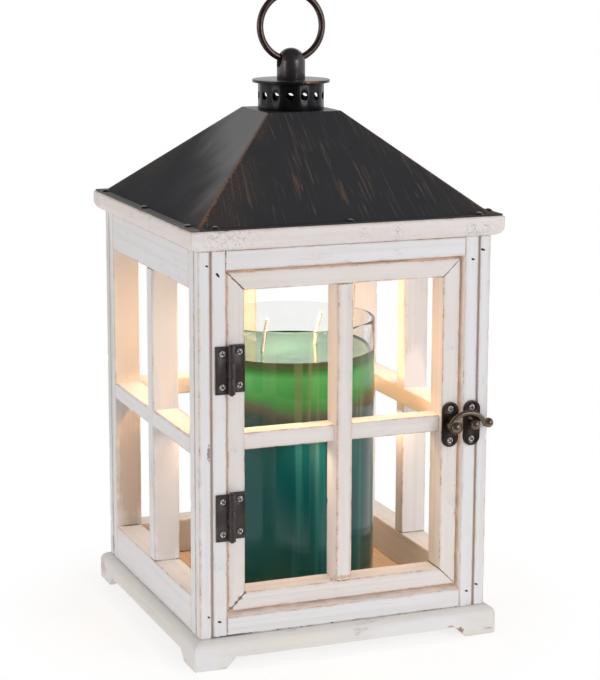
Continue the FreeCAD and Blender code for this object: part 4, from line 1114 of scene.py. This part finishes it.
def candle_wicks():
    """Two braided wicks that lean and waver."""
    low, high = span("candle_wicks")
    radius, sunk, steps, sides = 0.9, 3.0, 14, 12
    lean = Vector((3.2, -0.6, 0))
    points, faces = [], []
    for x, y in ((low.x + radius, low.y + radius), (high.x - radius, high.y - radius)):
        foot = Vector((x, y, WAX_HIGH.z - sunk)) - lean * 0.25
        faces += tube_faces(steps + 1, sides, len(points))
        for step in range(steps + 1):
            share = step / steps
            middle = foot + Vector((0, 0, (high.z - WAX_HIGH.z + sunk) * share))
            sway = Vector((noise.noise(middle * 0.2), noise.noise(middle * 0.17), 0)) * 0.3
            middle += lean * share ** 1.6 * 0.9 + sway
            size = 1.15 * radius * (1.0 - 0.12 * share) * (1.0 + 0.08 * noise.noise(middle * 1.1))
            points += [middle + Vector((math.cos(turn), math.sin(turn), 0)) * size
                       for turn in circle_turns(sides)]
    dress(shaped("candle_wicks_braided", points, faces), "candle_wicks")


def carry_ring():
    """A bent wire ring, hardly uneven."""
    low, high = span("carry_ring")
    wire = (high.y - low.y) / 2
    radius = (high.x - low.x) / 2 - wire
    major, minor = 240, 36
    points = []
    for turn in circle_turns(major):
        out = Vector((math.cos(turn), 0, math.sin(turn)))
        middle = (low + high) / 2 + out * radius
        size = wire * (0.985 - 0.015 * noise.noise(middle * 0.15))
        points += [middle + (out * math.cos(roll) + Vector((0, 1, 0)) * math.sin(roll)) * size
                   for roll in circle_turns(minor)]
    dress(shaped("carry_ring_wire", points, tube_faces(major, minor, closed=True)), "carry_ring")


def bulb():
    """A reflector bulb: a slightly domed face, a rim, a bell and a neck."""
    low, high = span("halogen_bulb")
    face, rim, neck, bell = high.x, 5.0, 12.5, 28.0
    profile = [(0, low.z), (face - 6, low.z + 0.15), (face - 2.2, low.z + 0.7)]
    profile += arc(face - 2.0, low.z + 2.6, 2.0, -60, 0)
    profile += [(face, low.z + rim)]
    profile += [(neck + (face - neck) * math.cos(math.radians(turn)) ** 1.2,
                 low.z + rim + bell * math.sin(math.radians(turn))) for turn in (15, 30, 45, 60, 75, 86)]
    profile += [(neck, low.z + 35), (neck, high.z - 0.6), (neck - 0.6, high.z), (0, high.z)]
    revolved("halogen_bulb_glass", "halogen_bulb", profile, 96, 50)


candle_jar()
candle_wax()
candle_wicks()
carry_ring()
bulb()

# ---------- metal parts from the CAD solids

# Angles in degrees: faces this flat are joined, sharper edges are rounded, flatter ones shade smoothly.
FLAT = 0.8
HARD_EDGE = 30
STILL_SMOOTH = 42


def softened(node, width):
    """A copy of a CAD node with its hard edges rounded."""
    mesh = frame["nodes"][node].data.copy()
    mesh.name = node + "_soft"
    shape = bmesh.new()
    shape.from_mesh(mesh)
    bmesh.ops.remove_doubles(shape, verts=shape.verts, dist=1e-6)
    bmesh.ops.dissolve_limit(shape, angle_limit=math.radians(FLAT), verts=shape.verts, edges=shape.edges)
    hard = [edge for edge in shape.edges
            if len(edge.link_faces) == 2 and edge.calc_face_angle() > math.radians(HARD_EDGE)]
    bmesh.ops.bevel(shape, geom=hard, offset=width * MM, segments=2, profile=0.5, affect="EDGES",
                    clamp_overlap=True)
    bmesh.ops.triangulate(shape, faces=[face for face in shape.faces if len(face.verts) > 4])
    shape.to_mesh(mesh)
    shape.free()
    for name in [attribute.name for attribute in mesh.attributes if attribute.name == "custom_normal"]:
        mesh.attributes.remove(mesh.attributes[name])
    mesh.shade_smooth()
    mesh.set_sharp_from_angle(angle=math.radians(STILL_SMOOTH))
    dress(new_object(node + "_soft", mesh), node)


SOFT_EDGES = {
    "upper_hinge_frame_leaf": 0.18, "lower_hinge_frame_leaf": 0.18,
    "upper_hinge_door_leaf": 0.18, "lower_hinge_door_leaf": 0.18,
    "latch_plate": 0.30, "latch_strike": 0.30, "latch_hook": 0.25, "latch_pivot": 0.25,
    "vent_collar": 0.15, "vent_cap": 0.35, "finial": 0.25, "cord_gland": 0.3,
}
for node, width in SOFT_EDGES.items():
    softened(node, width)

# ---------- marks in the wood

DENT_SIDES = 14
DENT_PROUD = 0.03
DENT_DOME = 0.05


def nail_places():
    """The middles of the finishing nails, each from the points of its solid."""
    nails = []
    for vertex in frame["nodes"]["frame_brads"].data.vertices:
        spot = vertex.co / MM
        for nail in nails:
            if (nail[0] - spot).xz.length < 3 and nail[0].y * spot.y > 0:
                nail.append(spot)
                break
        else:
            nails.append([spot])
    return [sum(nail, Vector((0, 0, 0))) / len(nail) for nail in nails]


def nail_marks():
    """Dark, frayed dents where the finishing nails went in."""
    face = span("frame_brads")[1].y
    points, faces = [], []
    for middle in nail_places():
        dice = random.Random("%.0f %.0f %.0f" % tuple(middle))
        tilt = math.radians(dice.uniform(-55, -5))
        long_way = Vector((math.cos(tilt), 0, math.sin(tilt)))
        short_way = Vector((-long_way.z, 0, long_way.x))
        out = 1 if middle.y > 0 else -1
        centre = Vector((middle.x, out * (face + DENT_PROUD), middle.z))
        raised = Vector((0, out * DENT_DOME, 0))
        first = len(points)
        reach = dice.uniform(1.0, 1.45)
        for turn in circle_turns(DENT_SIDES):
            ragged = 1 + 0.35 * (dice.random() - 0.5)
            rim = (long_way * math.cos(turn) + short_way * math.sin(turn) * 0.5) * reach * ragged
            points += [centre + rim, centre + rim * 0.6 + raised]
        tip = len(points)
        points.append(centre + raised)
        for step in range(DENT_SIDES):
            here, there = first + 2 * step, first + 2 * ((step + 1) % DENT_SIDES)
            faces += [(here, there, there + 1, here + 1), (here + 1, there + 1, tip)]
        faces.append(tuple(first + 2 * step for step in range(DENT_SIDES)))
    dress(shaped("frame_brad_dents", points, faces, 60), "frame_brads")


nail_marks()

# ---------- CAD nodes that stay

for node, thing in frame["nodes"].items():
    if not thing.hide_render:
        coat(thing, node)

# ---------- stage and light

WORLD_LIGHT = (0.56, 0.555, 0.555)
BACKDROP_WAY = (0.36, 0.93, 0.0)
STUDIO_DARK = 0.08
FLOOR_HALF = 900.0
SHADOW_REACH = (105.0, 185.0)
TABLE_END = (-180.0, -330.0)


def add_world():
    """A white backdrop, softer light on matt things, and in reflections a darker room in front and above."""
    g = Graph(bpy.data.worlds.new("studio"))
    way = g.coordinate("Generated")
    behind = g.vector("DOT_PRODUCT", way, BACKDROP_WAY).step(-0.65, -0.15)
    low = g.split(way)[2].step(0.45, 0.80, 1, 0)
    room = (behind * low).step(0, 1, STUDIO_DARK, 1)
    colour = g.layers(WORLD_LIGHT, (g.ray("Glossy"), g.join(room, room, room)),
                      (g.ray("Camera", "Transmission"), (1.0, 1.0, 1.0)))
    bpy.context.scene.world = g.finish(g.add("ShaderNodeBackground", 0, {"Color": colour}), "World")


def add_floor():
    """A white table that glows a little and keeps a faint shadow near the object.

    Seen in a reflection, the table ends in the dark room in front of it, as the world does.
    """
    g, point = start()
    x, y, z = g.split(point)
    away = (x * x + y * y) ** 0.5
    table = g.blend(away.step(*SHADOW_REACH), g.lit_sheet(0.45, 0.65), g.glow())
    mirrored = g.math("SUBTRACT", g.ray("Glossy"), g.ray("Transmission"), clamp=True)
    ending = g.blend(mirrored * y.step(*TABLE_END), table, g.glow(strength=STUDIO_DARK))
    seen = g.ray("Camera", "Glossy", "Transmission")
    material = g.finish(g.blend(seen, g.lit_sheet(0.80, 0.30), ending))
    material.name = "studio_floor"
    corners = [(x * FLOOR_HALF, y * FLOOR_HALF, 0) for x, y in ((-1, -1), (1, -1), (1, 1), (-1, 1))]
    sheet = shaped("studio_floor", corners, [(0, 1, 2, 3)])
    sheet.data.materials.append(material)


def at(*place):
    return Matrix.Translation(Vector(place) * MM)


def add_lamp(name, kind, power, colour, matrix, **settings):
    """A lamp that neither the camera nor glass shows."""
    data = bpy.data.lights.new(name, kind)
    data.energy = power
    data.color = colour
    for key, value in settings.items():
        setattr(data, key, value)
    lamp = new_object(name, data)
    lamp.matrix_world = matrix
    lamp.visible_camera = False
    lamp.visible_transmission = False
    return lamp


def add_studio_lamp(name, place, size, power, colour):
    """A large soft lamp that shines at the lantern's middle."""
    way = Vector((0, 0, 120)) - Vector(place)
    add_lamp(name, "AREA", power, colour, at(*place) @ way.to_track_quat("-Z", "Y").to_matrix().to_4x4(),
             size=size * MM)


LAMP_COLOUR = (1.0, 0.58, 0.33)
BOUNCE_COLOUR = (1.0, 0.68, 0.45)
# What the jar scatters: power, colour, place in front of the jar, and tilt from facing down.
SPILLS = ((0.030, BOUNCE_COLOUR, (0, -59, 112), 0),
          (0.0045, LAMP_COLOUR, (0, -50.5, 126), -math.pi / 2))


def add_bulb_lights():
    """The halogen lamp and the candle that it lights: they ride on the lantern, and no mirror shows them.

    Round the jar, four lamps shine down and four outwards. The bulb has a glowing face and the
    cone of its reflector, and the top of the wax glows.
    """
    lamps = []
    for power, colour, place, tilt in SPILLS:
        for side in range(4):
            turn = Matrix.Rotation(side * math.pi / 2, 4, "Z")
            lamps.append(add_lamp("jar_spill", "AREA", power, colour,
                                  turn @ at(*place) @ Matrix.Rotation(tilt, 4, "X"),
                                  shape="RECTANGLE", size=60 * MM, size_y=12 * MM))
    face = at(0, 0, BULB_FACE - 0.4)
    lamps.append(add_lamp("bulb_face", "AREA", 0.13, LAMP_COLOUR, face, shape="DISK", size=44 * MM))
    lamps.append(add_lamp("bulb_cone", "SPOT", 1.5, LAMP_COLOUR, face, spot_size=math.radians(113),
                          spot_blend=0.2, shadow_soft_size=14 * MM))
    lamps.append(add_lamp("jar_glow", "POINT", 0.42, LAMP_COLOUR, at(0, 0, WAX_HIGH.z),
                          shadow_soft_size=42 * MM))
    for lamp in lamps:
        lamp.visible_glossy = False
        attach(lamp, "root")


add_world()
add_floor()
add_studio_lamp("key_light", (750, -1350, 480), 520, 6.6, (0.97, 0.98, 1.0))
add_studio_lamp("left_light", (-1400, -350, 300), 480, 2.9, (1.0, 0.955, 0.89))
add_bulb_lights()
bpy.context.scene.view_settings.view_transform = "Standard"
